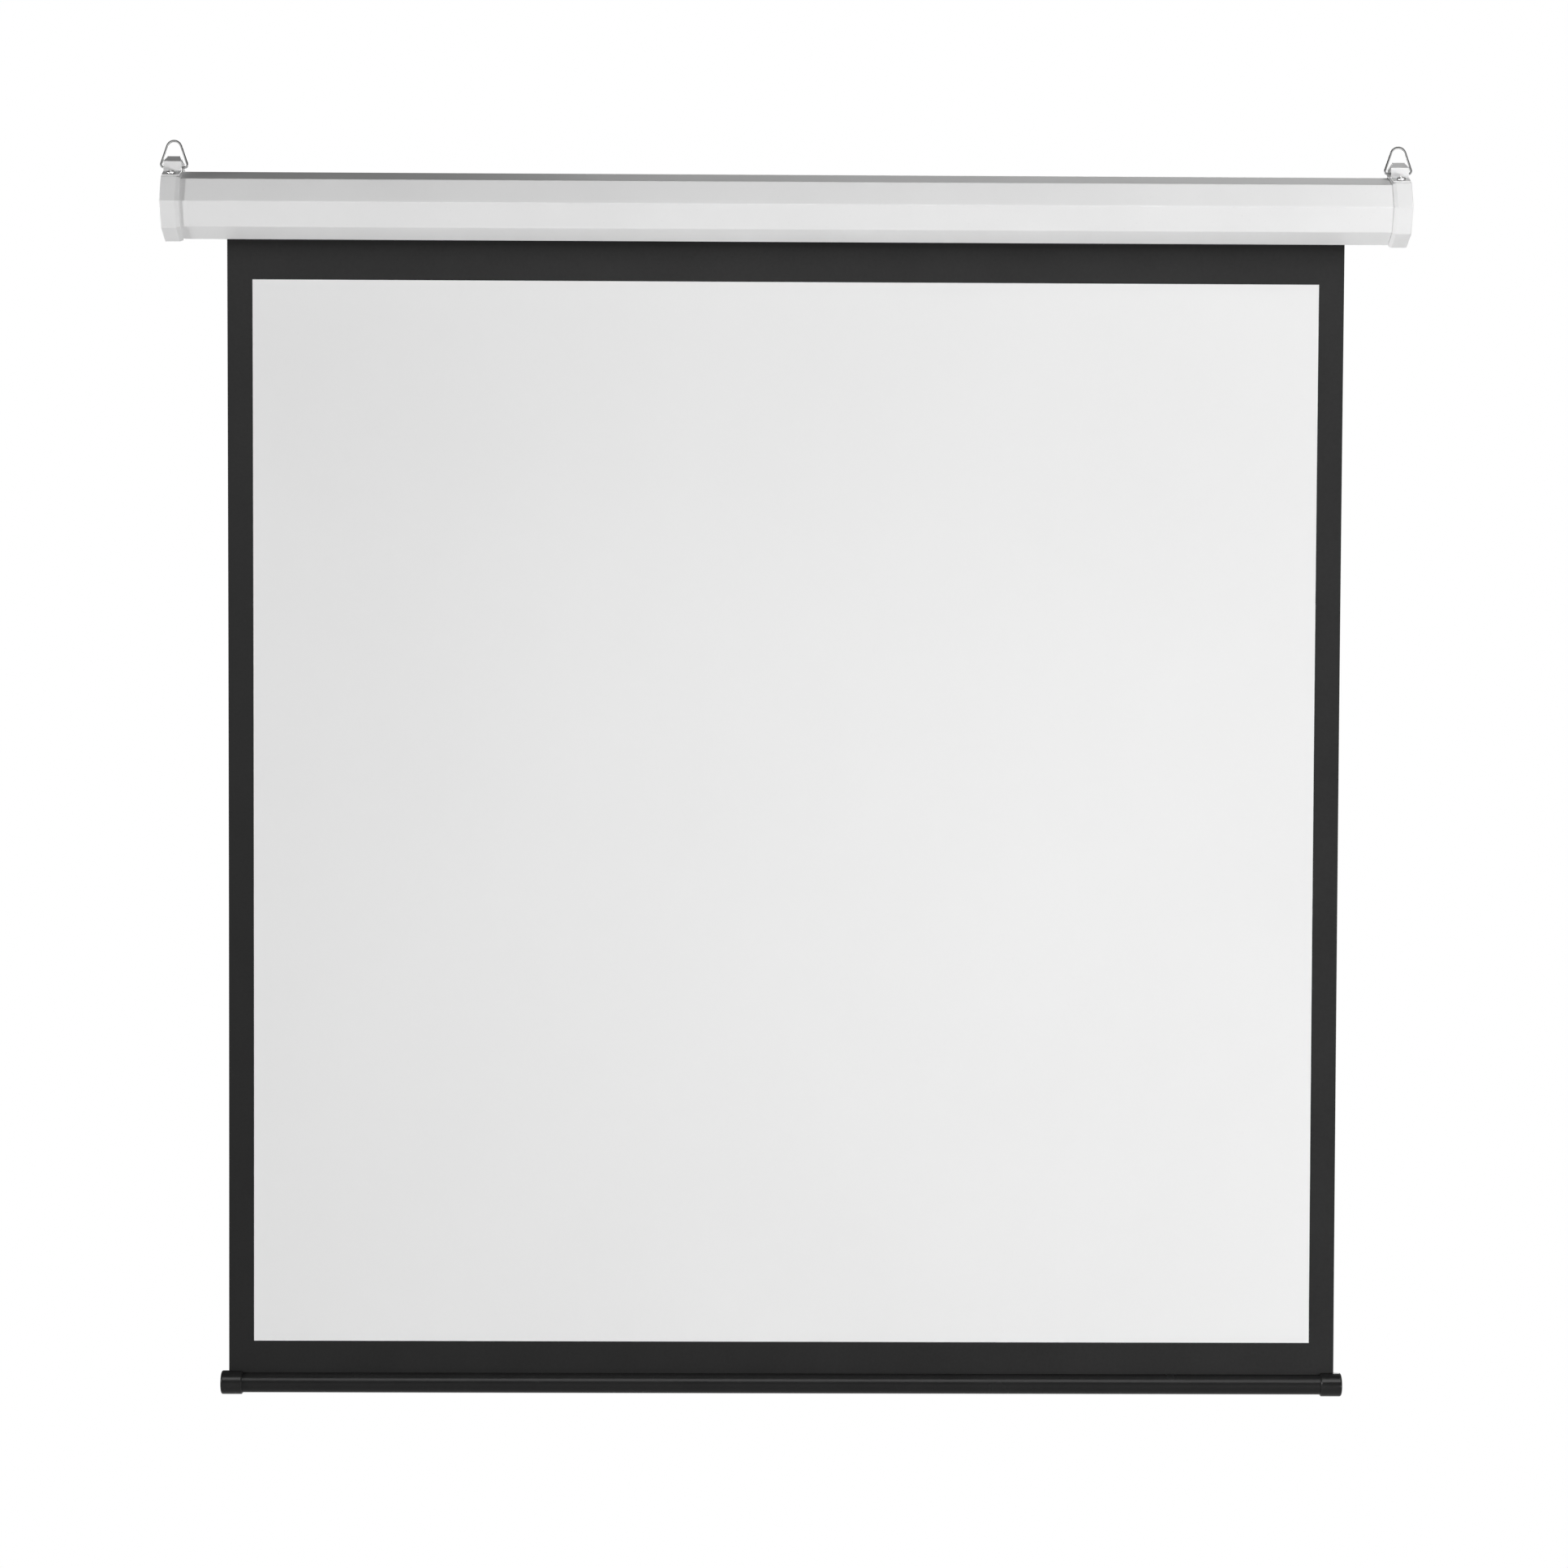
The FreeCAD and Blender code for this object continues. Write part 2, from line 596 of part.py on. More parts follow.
# Hang rings: wire triangles with a round top, their straight bar lying on the cap's ridge
wire_radius = RING_WIRE / 2
half_ring = RING_WIDTH / 2 - wire_radius
tall = RING_HEIGHT - RING_WIRE
corner_x = half_ring - RING_CORNER_RADIUS
apex_z = tall - RING_APEX_RADIUS
lean_x = -corner_x
lean_z = apex_z - RING_CORNER_RADIUS
lean = math.hypot(lean_x, lean_z)
share = (RING_CORNER_RADIUS - RING_APEX_RADIUS) / lean
rest = math.sqrt(1 - share * share)
normal_x = share * lean_x / lean + rest * lean_z / lean
normal_z = share * lean_z / lean - rest * lean_x / lean
side_angle = math.degrees(math.atan2(normal_z, normal_x))


def wire_run(start, end):
    """Straight wire between two (x, z) points of a ring."""
    a = vec(start[0], 0, start[1])
    b = vec(end[0], 0, end[1])
    return Part.makeCylinder(wire_radius, (b - a).Length, a, b - a)


def wire_bend(centre, radius, first, last):
    """Bent wire round an (x, z) centre between two angles."""
    turn = math.radians(first)
    start = vec(centre[0] + radius * math.cos(turn), 0, centre[1] + radius * math.sin(turn))
    along = vec(-math.sin(turn), 0, math.cos(turn))
    section = Part.Face(Part.Wire(Part.Circle(start, along, wire_radius).toShape()))
    return section.revolve(vec(centre[0], 0, centre[1]), vec(0, -1, 0), last - first)


low_tangent = (corner_x + RING_CORNER_RADIUS * normal_x, RING_CORNER_RADIUS * (1 + normal_z))
high_tangent = (RING_APEX_RADIUS * normal_x, apex_z + RING_APEX_RADIUS * normal_z)
ring = wire_run((-corner_x, 0.0), (corner_x, 0.0))
ring = ring.fuse(wire_bend((corner_x, RING_CORNER_RADIUS), RING_CORNER_RADIUS, -90, side_angle))
ring = ring.fuse(wire_run(low_tangent, high_tangent))
ring = ring.fuse(wire_bend((0.0, apex_z), RING_APEX_RADIUS, side_angle, 180 - side_angle))
ring = ring.fuse(wire_run((-low_tangent[0], low_tangent[1]), (-high_tangent[0], high_tangent[1])))
ring = ring.fuse(wire_bend((-corner_x, RING_CORNER_RADIUS), RING_CORNER_RADIUS, 180 - side_angle, 270))
ring = ring.removeSplitter()
ring.translate(vec(X_STRAP, 0, RING_BAR_Z))
save("hang_ring_right", ring)
save("hang_ring_left", mirrored(ring))


# Roller: tube with the fabric turns that stay on it
save("fabric_turns", tube(WRAP_RADIUS, ROLLER_RADIUS + FIT, -half_fabric, half_fabric, ROLLER_Y))
rivet_radius = RIVET_DIAMETER / 2


def radial_rods(radius, x, low, high):
    """Round bars set radially about the roller axis, evenly spaced."""
    rods = []
    for k in range(RIVETS_ROUND):
        bar = Part.makeCylinder(radius, high - low, vec(x, ROLLER_Y, low), ALONG_Z)
        bar.rotate(vec(0, ROLLER_Y, 0), ALONG_X, 360 * k / RIVETS_ROUND)
        rods.append(bar)
    return rods


# Motor head: flange against the bracket, spigot in the motor tube, two limit screws
x_head = -X_PLATE_IN
x_shoulder = x_head + HEAD_LENGTH
x_spigot = x_shoulder + SPIGOT_LENGTH
head_radius = HEAD_DIAMETER / 2
head = rod(head_radius, x_head, x_shoulder, ROLLER_Y)
head = head.fuse(rod(MOTOR_BORE - FIT, x_shoulder, x_spigot, ROLLER_Y))
for height in motor_screw_heights:
    head = head.cut(rod(thread_hole, x_head, motor_screw_tip + SCREW_END, ROLLER_Y, height))
limit_radius = LIMIT_SCREW_DIAMETER / 2
x_limit = (x_head + x_shoulder) / 2
limit_low = head_radius - LIMIT_SCREW_DEPTH
limit_high = head_radius + LIMIT_SCREW_STAND


def head_rod(radius, x, low, high, angle):
    """Round bar set radially about the motor axis at an angle from +Y."""
    turn = math.radians(angle)
    out = vec(0, math.cos(turn), math.sin(turn))
    return Part.makeCylinder(radius, high - low, vec(x, ROLLER_Y, 0) + out * low, out)


def limit_screw(x):
    """Slotted setting screw in the side of the motor head."""
    screw = head_rod(limit_radius, x, limit_low, limit_high, LIMIT_SCREW_ANGLE)
    half = LIMIT_SCREW_SLOT / 2
    slot = block(
        x - half, x + half, ROLLER_Y + limit_high - LIMIT_SCREW_SLOT, ROLLER_Y + limit_high,
        -limit_radius, limit_radius)
    slot.rotate(vec(0, ROLLER_Y, 0), ALONG_X, LIMIT_SCREW_ANGLE)
    return screw.cut(slot)


limit_places = (x_limit - LIMIT_SCREW_PITCH / 2, x_limit + LIMIT_SCREW_PITCH / 2)
for x in limit_places:
    head = head.cut(head_rod(limit_radius + RUNNING_FIT, x, limit_low, limit_high, LIMIT_SCREW_ANGLE))
save("motor_head", head)
save("limit_screw_up", limit_screw(limit_places[0]))
save("limit_screw_down", limit_screw(limit_places[1]))


# Motor parts, one after another along the motor tube
x_capacitor = x_spigot + MOTOR_GAP
x_rear_shield = x_capacitor + CAPACITOR_LENGTH + MOTOR_GAP
x_winding = x_rear_shield + SHIELD_THICKNESS
x_stator = x_winding + WINDING_LENGTH
x_stator_end = x_stator + STATOR_LENGTH
x_front_shield = x_stator_end + WINDING_LENGTH
x_gears = x_front_shield + SHIELD_THICKNESS
x_planets = x_gears + GEAR_GAP
x_planets_end = x_planets + GEAR_FACE
x_carrier = x_planets_end + GEAR_GAP
x_carrier_end = x_carrier + CARRIER_THICKNESS
x_output_plug = x_carrier_end + OUTPUT_SHAFT_REACH
x_motor_end = x_output_plug + OUTPUT_PLUG_LENGTH
x_wheel = x_motor_end + MOTOR_GAP
x_wheel_end = x_wheel + DRIVE_WHEEL_LENGTH
motor_fit = MOTOR_BORE - FIT
shaft_radius = ROTOR_SHAFT_DIAMETER / 2
bearing_radius = shaft_radius + FIT + BEARING_WALL

save("motor_tube", tube(MOTOR_RADIUS, MOTOR_BORE, x_shoulder, x_motor_end, ROLLER_Y))
capacitor = rod(MOTOR_BORE - CAPACITOR_SKIN, x_capacitor, x_capacitor + CAPACITOR_LENGTH, ROLLER_Y)
collar = tube(motor_fit, MOTOR_BORE - CAPACITOR_SKIN, x_capacitor, x_capacitor + WINDING_LENGTH, ROLLER_Y)
save("run_capacitor", capacitor.fuse(collar).removeSplitter())
rear_shield = rod(motor_fit, x_rear_shield, x_winding, ROLLER_Y)
rear_shield = rear_shield.cut(rod(bearing_radius + FIT, x_winding - BEARING_WIDTH, x_winding, ROLLER_Y))
save("rear_shield", rear_shield)
front_shield = tube(motor_fit, bearing_radius + FIT, x_front_shield, x_gears, ROLLER_Y)
save("front_shield", front_shield)
bearing_stations = (x_winding - BEARING_WIDTH, x_front_shield)
bearings = []
for x in bearing_stations:
    bearings.append(tube(bearing_radius, shaft_radius + FIT, x, x + BEARING_WIDTH, ROLLER_Y))
save("rotor_bearings", *bearings)
save("stator_core", tube(motor_fit, STATOR_BORE, x_stator, x_stator_end, ROLLER_Y))
winding_outer = motor_fit - WINDING_INSET
winding_inner = STATOR_BORE + WINDING_INSET
windings = [
    tube(winding_outer, winding_inner, x_winding + WINDING_INSET, x_stator, ROLLER_Y),
    tube(winding_outer, winding_inner, x_stator_end, x_front_shield - WINDING_INSET, ROLLER_Y),
]
save("stator_winding", *windings)

# Rotor: core and sun gear on the rotor shaft
save("rotor_core", tube(ROTOR_RADIUS, shaft_radius + FIT, x_stator, x_stator_end, ROLLER_Y))
save("rotor_shaft", rod(shaft_radius, x_winding - BEARING_WIDTH, x_gears, ROLLER_Y)
     .fuse(rod(shaft_radius - RUNNING_FIT - GEAR_MODULE, x_gears, x_planets_end, ROLLER_Y)))


# Planetary stage: the sun drives three planets round the fixed ring gear
def involute(angle):
    return math.tan(angle) - angle


def gear(teeth, tip_share, root_share, thinning, x0, x1, y, z):
    """Spur gear with a tooth centred on +Y, its flanks short chords of the involute."""
    pitch = GEAR_MODULE * teeth / 2
    pressure = math.radians(PRESSURE_ANGLE)
    base = pitch * math.cos(pressure)
    tip = pitch + tip_share * GEAR_MODULE
    root = pitch - root_share * GEAR_MODULE
    low = max(base, root)
    radii = [low + (tip - low) * k / (FLANK_POINTS - 1) for k in range(FLANK_POINTS)]
    half = math.pi / (2 * teeth) - thinning / (2 * pitch)
    flank = [(r, half + involute(pressure) - involute(math.acos(base / r))) for r in radii]
    if root < low:
        flank = [(root, flank[0][1])] + flank
    points = []
    for k in range(teeth):
        middle = 2 * math.pi * k / teeth
        points += [(r, middle - a) for r, a in flank] + [(r, middle + a) for r, a in reversed(flank)]
    return prism([(y + r * math.cos(a), z + r * math.sin(a)) for r, a in points], x0, x1)


sun = gear(
    SUN_TEETH, TOOTH_TIP_SHARE, TOOTH_ROOT_SHARE, GEAR_BACKLASH, x_planets, x_planets_end, ROLLER_Y, 0.0)
sun_bore = shaft_radius - RUNNING_FIT - GEAR_MODULE + FIT
save("sun_gear", sun.cut(rod(sun_bore, x_planets, x_planets_end, ROLLER_Y)))
ring_gear = rod(motor_fit, x_gears, x_carrier_end, ROLLER_Y)
spaces = gear(
    RING_GEAR_TEETH, TOOTH_ROOT_SHARE, TOOTH_TIP_SHARE, -GEAR_BACKLASH, x_gears, x_carrier_end, ROLLER_Y, 0.0)
save("ring_gear", ring_gear.cut(spaces))
planet_pin_radius = PLANET_PIN_DIAMETER / 2
carrier = rod(RING_GEAR_TIP - CARRIER_RIM_GAP, x_carrier, x_carrier_end, ROLLER_Y)
pins = []
for k in range(PLANET_COUNT):
    turn = 2 * math.pi * k / PLANET_COUNT
    y = ROLLER_Y + GEAR_CENTRES * math.cos(turn)
    z = GEAR_CENTRES * math.sin(turn)
    planet = gear(
        PLANET_TEETH, TOOTH_TIP_SHARE, TOOTH_ROOT_SHARE, GEAR_BACKLASH, x_planets, x_planets_end, y, z)
    planet.rotate(vec(0, y, z), ALONG_X, math.degrees(turn))
    planet = planet.cut(rod(planet_pin_radius + RUNNING_FIT, x_planets, x_planets_end, y, z))
    save("planet_gear_" + str(k + 1), planet)
    pins.append(rod(planet_pin_radius, x_planets, x_carrier_end, y, z))
    carrier = carrier.cut(rod(planet_pin_radius + FIT, x_carrier, x_carrier_end, y, z))
save("planet_pins", *pins)

# Output shaft with the carrier at one end and a hexagon for the drive wheel at the other
output_radius = OUTPUT_SHAFT_DIAMETER / 2
hex_flats = OUTPUT_SHAFT_DIAMETER * math.cos(math.pi / 6)
neck_radius = NECK_DIAMETER / 2
output = carrier.fuse(rod(output_radius, x_carrier_end, x_wheel, ROLLER_Y))
output = output.fuse(hexagon(hex_flats, x_wheel, x_wheel_end, ROLLER_Y))
output = output.fuse(rod(neck_radius, x_wheel_end, x_wheel_end + NECK_LENGTH, ROLLER_Y))
save("output_shaft", output)
save("output_plug", tube(motor_fit, output_radius + RUNNING_FIT, x_output_plug, x_motor_end, ROLLER_Y))
wheel = rod(ROLLER_BORE - FIT, x_wheel, x_wheel_end, ROLLER_Y)
wheel = wheel.cut(hexagon(hex_flats + 2 * FIT, x_wheel, x_wheel_end, ROLLER_Y))
clip_bore = neck_radius + FIT
x_clip_end = x_wheel_end + CLIP_THICKNESS
save("shaft_clip", tube(clip_bore + CLIP_WALL, clip_bore, x_wheel_end, x_clip_end, ROLLER_Y))

# Limit crown, which the roller turns on the motor tube
x_crown = -X_ROLLER + CROWN_INSET
x_crown_end = x_crown + CROWN_LENGTH
save("limit_crown", tube(ROLLER_BORE - FIT, MOTOR_RADIUS + RUNNING_FIT, x_crown, x_crown_end, ROLLER_Y))


# Idler end: plug in the roller, pin, and bush in the bracket
plug = tube(ROLLER_BORE - FIT, pin_radius + FIT, X_ROLLER - IDLER_PLUG_LENGTH, X_ROLLER, ROLLER_Y)
save("idler_pin", rod(pin_radius, X_ROLLER - IDLER_PIN_DEPTH, X_PLATE_OUT, ROLLER_Y))
bush = rod(bush_radius, X_PLATE_IN, X_PLATE_OUT, ROLLER_Y)
bush = bush.fuse(
    rod(bush_radius + IDLER_BUSH_FLANGE_WALL, X_PLATE_IN - IDLER_BUSH_FLANGE, X_PLATE_IN, ROLLER_Y))
bush = bush.cut(rod(bush_bore, X_PLATE_IN - IDLER_BUSH_FLANGE, X_PLATE_OUT, ROLLER_Y))
save("idler_bush", bush.removeSplitter())

# Flush rivets that fix the drive wheel and the idler plug in the roller
x_wheel_rivets = (x_wheel + x_wheel_end) / 2
x_plug_rivets = X_ROLLER - IDLER_PLUG_LENGTH / 2
rivet_low = ROLLER_RADIUS - RIVET_LENGTH
roller = tube(ROLLER_RADIUS, ROLLER_BORE, -X_ROLLER, X_ROLLER, ROLLER_Y)
for x in (x_wheel_rivets, x_plug_rivets):
    for hole in radial_rods(rivet_radius + FIT, x, rivet_low, ROLLER_RADIUS):
        roller = roller.cut(hole)
for hole in radial_rods(rivet_radius + FIT, x_wheel_rivets, rivet_low, ROLLER_RADIUS):
    wheel = wheel.cut(hole)
for hole in radial_rods(rivet_radius + FIT, x_plug_rivets, rivet_low, ROLLER_RADIUS):
    plug = plug.cut(hole)
rivets = []
for x in (x_wheel_rivets, x_plug_rivets):
    for rivet in radial_rods(rivet_radius, x, rivet_low, ROLLER_RADIUS + FIT):
        rivets.append(rivet.common(rod(ROLLER_RADIUS, x - RIVET_DIAMETER, x + RIVET_DIAMETER, ROLLER_Y)))
save("roller_tube", roller)
save("drive_wheel", wheel)
save("idler_plug", plug)
save("roller_rivets", *rivets)


# Supply entry in the left cap: gland, its nut, terminal block and the motor lead
gland_z = -GLAND_BELOW
x_gland_out = -X_END - GLAND_FLANGE_THICKNESS
x_gland_in = -X_CAP_WALL + GLAND_NUT_THICKNESS
gland = rod(GLAND_FLANGE / 2, x_gland_out, -X_END, GLAND_ACROSS, gland_z)
rim = [e for e in gland.Edges if len(e.Vertexes) == 1 and abs(e.Vertexes[0].Point.x - x_gland_out) < FIT]
gland = gland.makeFillet(GLAND_FLANGE_THICKNESS / 2, rim)
gland = gland.fuse(rod(gland_barrel, -X_END, x_gland_in, GLAND_ACROSS, gland_z))
gland = gland.cut(rod(GLAND_BORE / 2, x_gland_out, x_gland_in, GLAND_ACROSS, gland_z))
save("cable_gland", gland)
gland_nut = hexagon(GLAND_NUT_FLATS, -X_CAP_WALL, x_gland_in, GLAND_ACROSS, gland_z)
gland_thread = gland_barrel + THREAD_CLEARANCE
gland_nut = gland_nut.cut(rod(gland_thread, -X_CAP_WALL, x_gland_in, GLAND_ACROSS, gland_z))
save("gland_nut", gland_nut)

block_low = BLOCK_ABOVE - BLOCK_HEIGHT / 2
block_high = BLOCK_ABOVE + BLOCK_HEIGHT / 2
block_front = BLOCK_ACROSS - BLOCK_DEPTH / 2
block_rear = BLOCK_ACROSS + BLOCK_DEPTH / 2
terminal = block(x_head, x_head + BLOCK_LENGTH, block_front, block_rear, block_low, block_high)
hole_pitch = BLOCK_DEPTH / BLOCK_HOLES
for k in range(BLOCK_HOLES):
    y = block_front + hole_pitch * (k + 0.5)
    start = vec(x_head + BLOCK_LENGTH / 2, y, block_high)
    wire_hole = Part.makeCylinder(BLOCK_HOLE_DIAMETER / 2, BLOCK_HOLE_DEPTH, start, vec(0, 0, -1))
    terminal = terminal.cut(wire_hole)
save("terminal_block", terminal)

lead_x = x_head + BLOCK_LENGTH / 2
lead_rise = BLOCK_ACROSS - LEAD_BEND
lead_z = block_low - LEAD_GAP - LEAD_BEND
lead_radius = LEAD_DIAMETER / 2
head_side = ROLLER_Y + math.sqrt(head_radius ** 2 - (abs(lead_z) + lead_radius) ** 2)
lead = Part.makeCylinder(lead_radius, lead_rise - head_side, vec(lead_x, head_side, lead_z), ALONG_Y)
bend_circle = Part.Circle(vec(lead_x, lead_rise, lead_z), ALONG_Y, lead_radius)
bend_section = Part.Face(Part.Wire(bend_circle.toShape()))
lead = lead.fuse(bend_section.revolve(vec(lead_x, lead_rise, lead_z + LEAD_BEND), ALONG_X, 90))
lead = lead.cut(rod(head_radius + LEAD_GAP, x_head, x_shoulder, ROLLER_Y))
save("motor_lead", lead.removeSplitter())


# Bottom bar: slit tube, end caps, and the fabric's hem held round a rod inside
x_bar_cap = half_fabric + BAR_CAP_OVERHANG
x_bar = x_bar_cap - BAR_CAP_END
slit_front = FABRIC_MIDDLE - BAR_SLIT / 2
slit_rear = FABRIC_MIDDLE + BAR_SLIT / 2
bar = tube(BAR_RADIUS, BAR_BORE, -x_bar, x_bar, FABRIC_MIDDLE, BAR_Z)
bar = bar.cut(block(-x_bar, x_bar, slit_front, slit_rear, BAR_Z, BAR_Z + BAR_RADIUS))
save("bar_tube", bar)
cap_radius = BAR_RADIUS + RUNNING_FIT + BAR_CAP_WALL
x_bar_cap_in = x_bar_cap - BAR_CAP_LENGTH
bar_cap = rod(cap_radius, x_bar_cap_in, x_bar_cap, FABRIC_MIDDLE, BAR_Z)
outer_rim = [
    e for e in bar_cap.Edges
    if len(e.Vertexes) == 1 and abs(e.Vertexes[0].Point.x - x_bar_cap) < FIT
]
bar_cap = bar_cap.makeFillet(BAR_CAP_FILLET, outer_rim)
inner_rim = [
    e for e in bar_cap.Edges
    if len(e.Vertexes) == 1 and abs(e.Vertexes[0].Point.x - x_bar_cap_in) < FIT
]
bar_cap = bar_cap.makeChamfer(BAR_CAP_CHAMFER, inner_rim)
bar_cap = bar_cap.cut(rod(BAR_RADIUS + RUNNING_FIT, x_bar_cap_in, x_bar, FABRIC_MIDDLE, BAR_Z))
bar_cap = bar_cap.cut(
    block(x_bar_cap_in, half_fabric + BAR_SLIT_ROOM, slit_front, slit_rear, BAR_Z, BAR_Z + cap_radius))
save("bar_cap_right", bar_cap)
save("bar_cap_left", mirrored(bar_cap))
hem_bore = HEM_ROD_DIAMETER / 2 + FIT
hem_radius = hem_bore + HEM_WALL
hem_z = BAR_Z + BAR_BORE - HEM_GAP - hem_radius
save("hem_loop", tube(hem_radius, hem_bore, -half_fabric, half_fabric, FABRIC_MIDDLE, hem_z))
save("hem_rod", rod(HEM_ROD_DIAMETER / 2, -half_fabric, half_fabric, FABRIC_MIDDLE, hem_z))

print("case axis", round(-HANG_Z, 3), "roller y", ROLLER_Y, "ring bar", round(RING_BAR_Z - HANG_Z, 3))
print("strap x", round(X_STRAP, 3), "overall length", OVERALL_LENGTH, "bar axis", round(BAR_Z - HANG_Z, 3))
print("fabric front", round(FABRIC_FRONT, 3), "turn radius", round(WRAP_RADIUS, 3))
print("bar cap radius", cap_radius)
print("case bottom edge", round(-CASE_EDGE - HANG_Z, 3), "gear module", round(GEAR_MODULE, 4),
      "planet centres", round(GEAR_CENTRES, 4))
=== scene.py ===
import json
import math

import bmesh
import bpy
from mathutils import Matrix, Vector


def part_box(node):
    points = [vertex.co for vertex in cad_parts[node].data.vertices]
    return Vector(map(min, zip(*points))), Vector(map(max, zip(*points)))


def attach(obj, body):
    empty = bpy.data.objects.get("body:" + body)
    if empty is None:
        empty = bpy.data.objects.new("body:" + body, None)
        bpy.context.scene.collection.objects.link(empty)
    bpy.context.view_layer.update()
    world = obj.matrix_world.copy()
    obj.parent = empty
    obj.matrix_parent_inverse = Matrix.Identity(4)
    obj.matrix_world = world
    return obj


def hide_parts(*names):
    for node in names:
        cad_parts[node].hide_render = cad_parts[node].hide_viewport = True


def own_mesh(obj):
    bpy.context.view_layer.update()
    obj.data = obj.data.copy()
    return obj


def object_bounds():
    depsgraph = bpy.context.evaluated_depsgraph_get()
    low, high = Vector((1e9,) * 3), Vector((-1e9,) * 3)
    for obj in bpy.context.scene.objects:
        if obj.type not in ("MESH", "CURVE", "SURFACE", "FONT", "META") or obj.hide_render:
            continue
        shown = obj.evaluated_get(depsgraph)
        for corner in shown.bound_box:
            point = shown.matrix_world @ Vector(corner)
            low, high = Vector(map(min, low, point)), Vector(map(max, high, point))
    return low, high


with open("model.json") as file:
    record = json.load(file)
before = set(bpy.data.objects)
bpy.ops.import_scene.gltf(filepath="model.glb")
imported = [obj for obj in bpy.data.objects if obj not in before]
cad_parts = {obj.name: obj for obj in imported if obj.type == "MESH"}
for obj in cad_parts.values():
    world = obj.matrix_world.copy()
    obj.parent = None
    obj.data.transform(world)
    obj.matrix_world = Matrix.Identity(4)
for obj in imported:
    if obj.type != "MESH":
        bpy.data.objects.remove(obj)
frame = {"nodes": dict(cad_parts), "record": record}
cad_low, cad_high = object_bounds()
nodes = frame["nodes"]

# Motorized projection screen, lowered.
# X runs along the case, -Y is the viewing side, +Z is up, metres.

MM = 0.001
CASE_SIDES = 8
HALF_FACET = math.pi / CASE_SIDES
SHARP_TURN = math.radians(35.0)
SEAM_REACH = 0.001 * MM

# Camera, placed from the middle of the white area and turned from looking along +Y
CAMERA_OFFSET = Vector((-0.0400, -4.2093, 0.1977))
CAMERA_YAW = math.radians(0.537)
CAMERA_PITCH = math.radians(-2.185)
CAMERA_ROLL = math.radians(0.237)
SENSOR_WIDTH = 36.0
FOCAL_LENGTH = 80.81

# Case sheet
CASE_WALL = 0.9 * MM
CASE_BEND = 2.0 * MM
CASE_BEND_STEPS = 7
SLOT_ROOM = 7.0 * MM
SLOT_LIP = 7.0 * MM

# Fabric
SHEET_COLUMNS = 64
SHEET_ROWS = 72
EDGE_BOW = 0.8 * MM
RIPPLE = 0.7 * MM
RIPPLE_COUNT = 2.6
RIPPLE_START = 0.6
RIPPLE_MIDDLE_SHARE = 0.35
STILL_LOW = 0.08
STILL_HIGH = 0.3
WOUND_TURNS = 2
WOUND_STEPS = 160
WOUND_ROOM = 0.2 * MM
WOUND_GAP_SHARE = 0.2
HEM_STEPS = 28
HEM_OPENING = 0.12

# Hanger straps, with points of the CAD mesh joined where they lie too close for the rounding
STRAP_EDGE = 0.25 * MM
EDGE_STEPS = 3
FLAT_TURN = math.radians(0.5)
MERGE_REACH = 0.3 * MM

# Hang ring
RING_APEX_RADIUS = 8.6 * MM
RING_CORNER_RADIUS = 3.2 * MM
RING_BEND_STEPS = 16
WIRE_SIDES = 20

# Screws
STRAP_SCREW_HEAD = 10.4 * MM
STRAP_SCREW_HEAD_HEIGHT = 3.0 * MM
STRAP_SCREW_SHANK = 5.0 * MM
STRAP_SCREW_LENGTH = 13.9 * MM
STRAP_SCREW_OFFSET = 7.5 * MM
STRAP_THICKNESS = 1.5 * MM
CAP_CORNER = 1.5 * MM
CAP_SCREW_HEAD = 7.0 * MM
CAP_SCREW_HEAD_HEIGHT = 1.8 * MM
CAP_SCREW_SHANK = 4.0 * MM
CAP_SCREW_LENGTH = 7.6 * MM
CAP_SCREW_OFFSET = 26.0 * MM
HEAD_ROUND_SHARE = 0.7
HEAD_ROUND_STEPS = 6
HEAD_SIDES = 32
SCREW_TWIST = math.pi
STRAP_SCREW_SEED = 3
CAP_SCREW_SEED = 5
RECESS_SHARE = 0.58
RECESS_WIDTH_SHARE = 0.15
RECESS_TAPER = 0.45
RECESS_DEPTH_SHARE = 0.6

# Stage
FLOOR_BELOW = 0.75
FLOOR_RADIUS = 1.9
FLOOR_SIDES = 96
FLOOR_TONE = 0.88
FLOOR_PALE_FROM = 0.8
FLOOR_OWN_LIGHT = 0.7
CEILING_SHARE = 0.1
CEILING_FROM = 0.2

# Brightness of the studio from straight below (0) over level (0.5) to straight above (1)
STUDIO_LEVELS = ((0.0, 0.17), (0.3, 0.145), (0.5, 0.08), (0.62, 0.05), (1.0, 0.03))

# Shares inside the shader groups
PIT_SHARE = 0.5
SPECK_SPACING = 0.12
SPECK_SIZE = 0.09
LINE_TONE_SPACING = 0.15
SLUB_SPACING = 0.2
SLUB_SHARE = 0.4

# Part of a mask over which a finish goes from one value to the other
MASK_LOW = 0.3
MASK_HIGH = 0.7


def middle(low, high):
    return (low + high) / 2


def add(tree, kind, settings=None, inputs=None):
    """New node with its settings, and its inputs linked from sockets or set to values."""
    node = tree.nodes.new(kind)
    for key, value in (settings or {}).items():
        setattr(node, key, value)
    for key, value in (inputs or {}).items():
        if isinstance(value, bpy.types.NodeSocket):
            tree.links.new(value, node.inputs[key])
        else:
            node.inputs[key].default_value = value
    return node


def math_node(tree, operation, *values):
    """Result of a sum or other operation on sockets and numbers."""
    node = add(tree, "ShaderNodeMath", {"operation": operation}, dict(enumerate(values)))
    return node.outputs[0]


# Shader groups shared by the finishes

FLOAT = "NodeSocketFloat"
VECTOR = "NodeSocketVector"


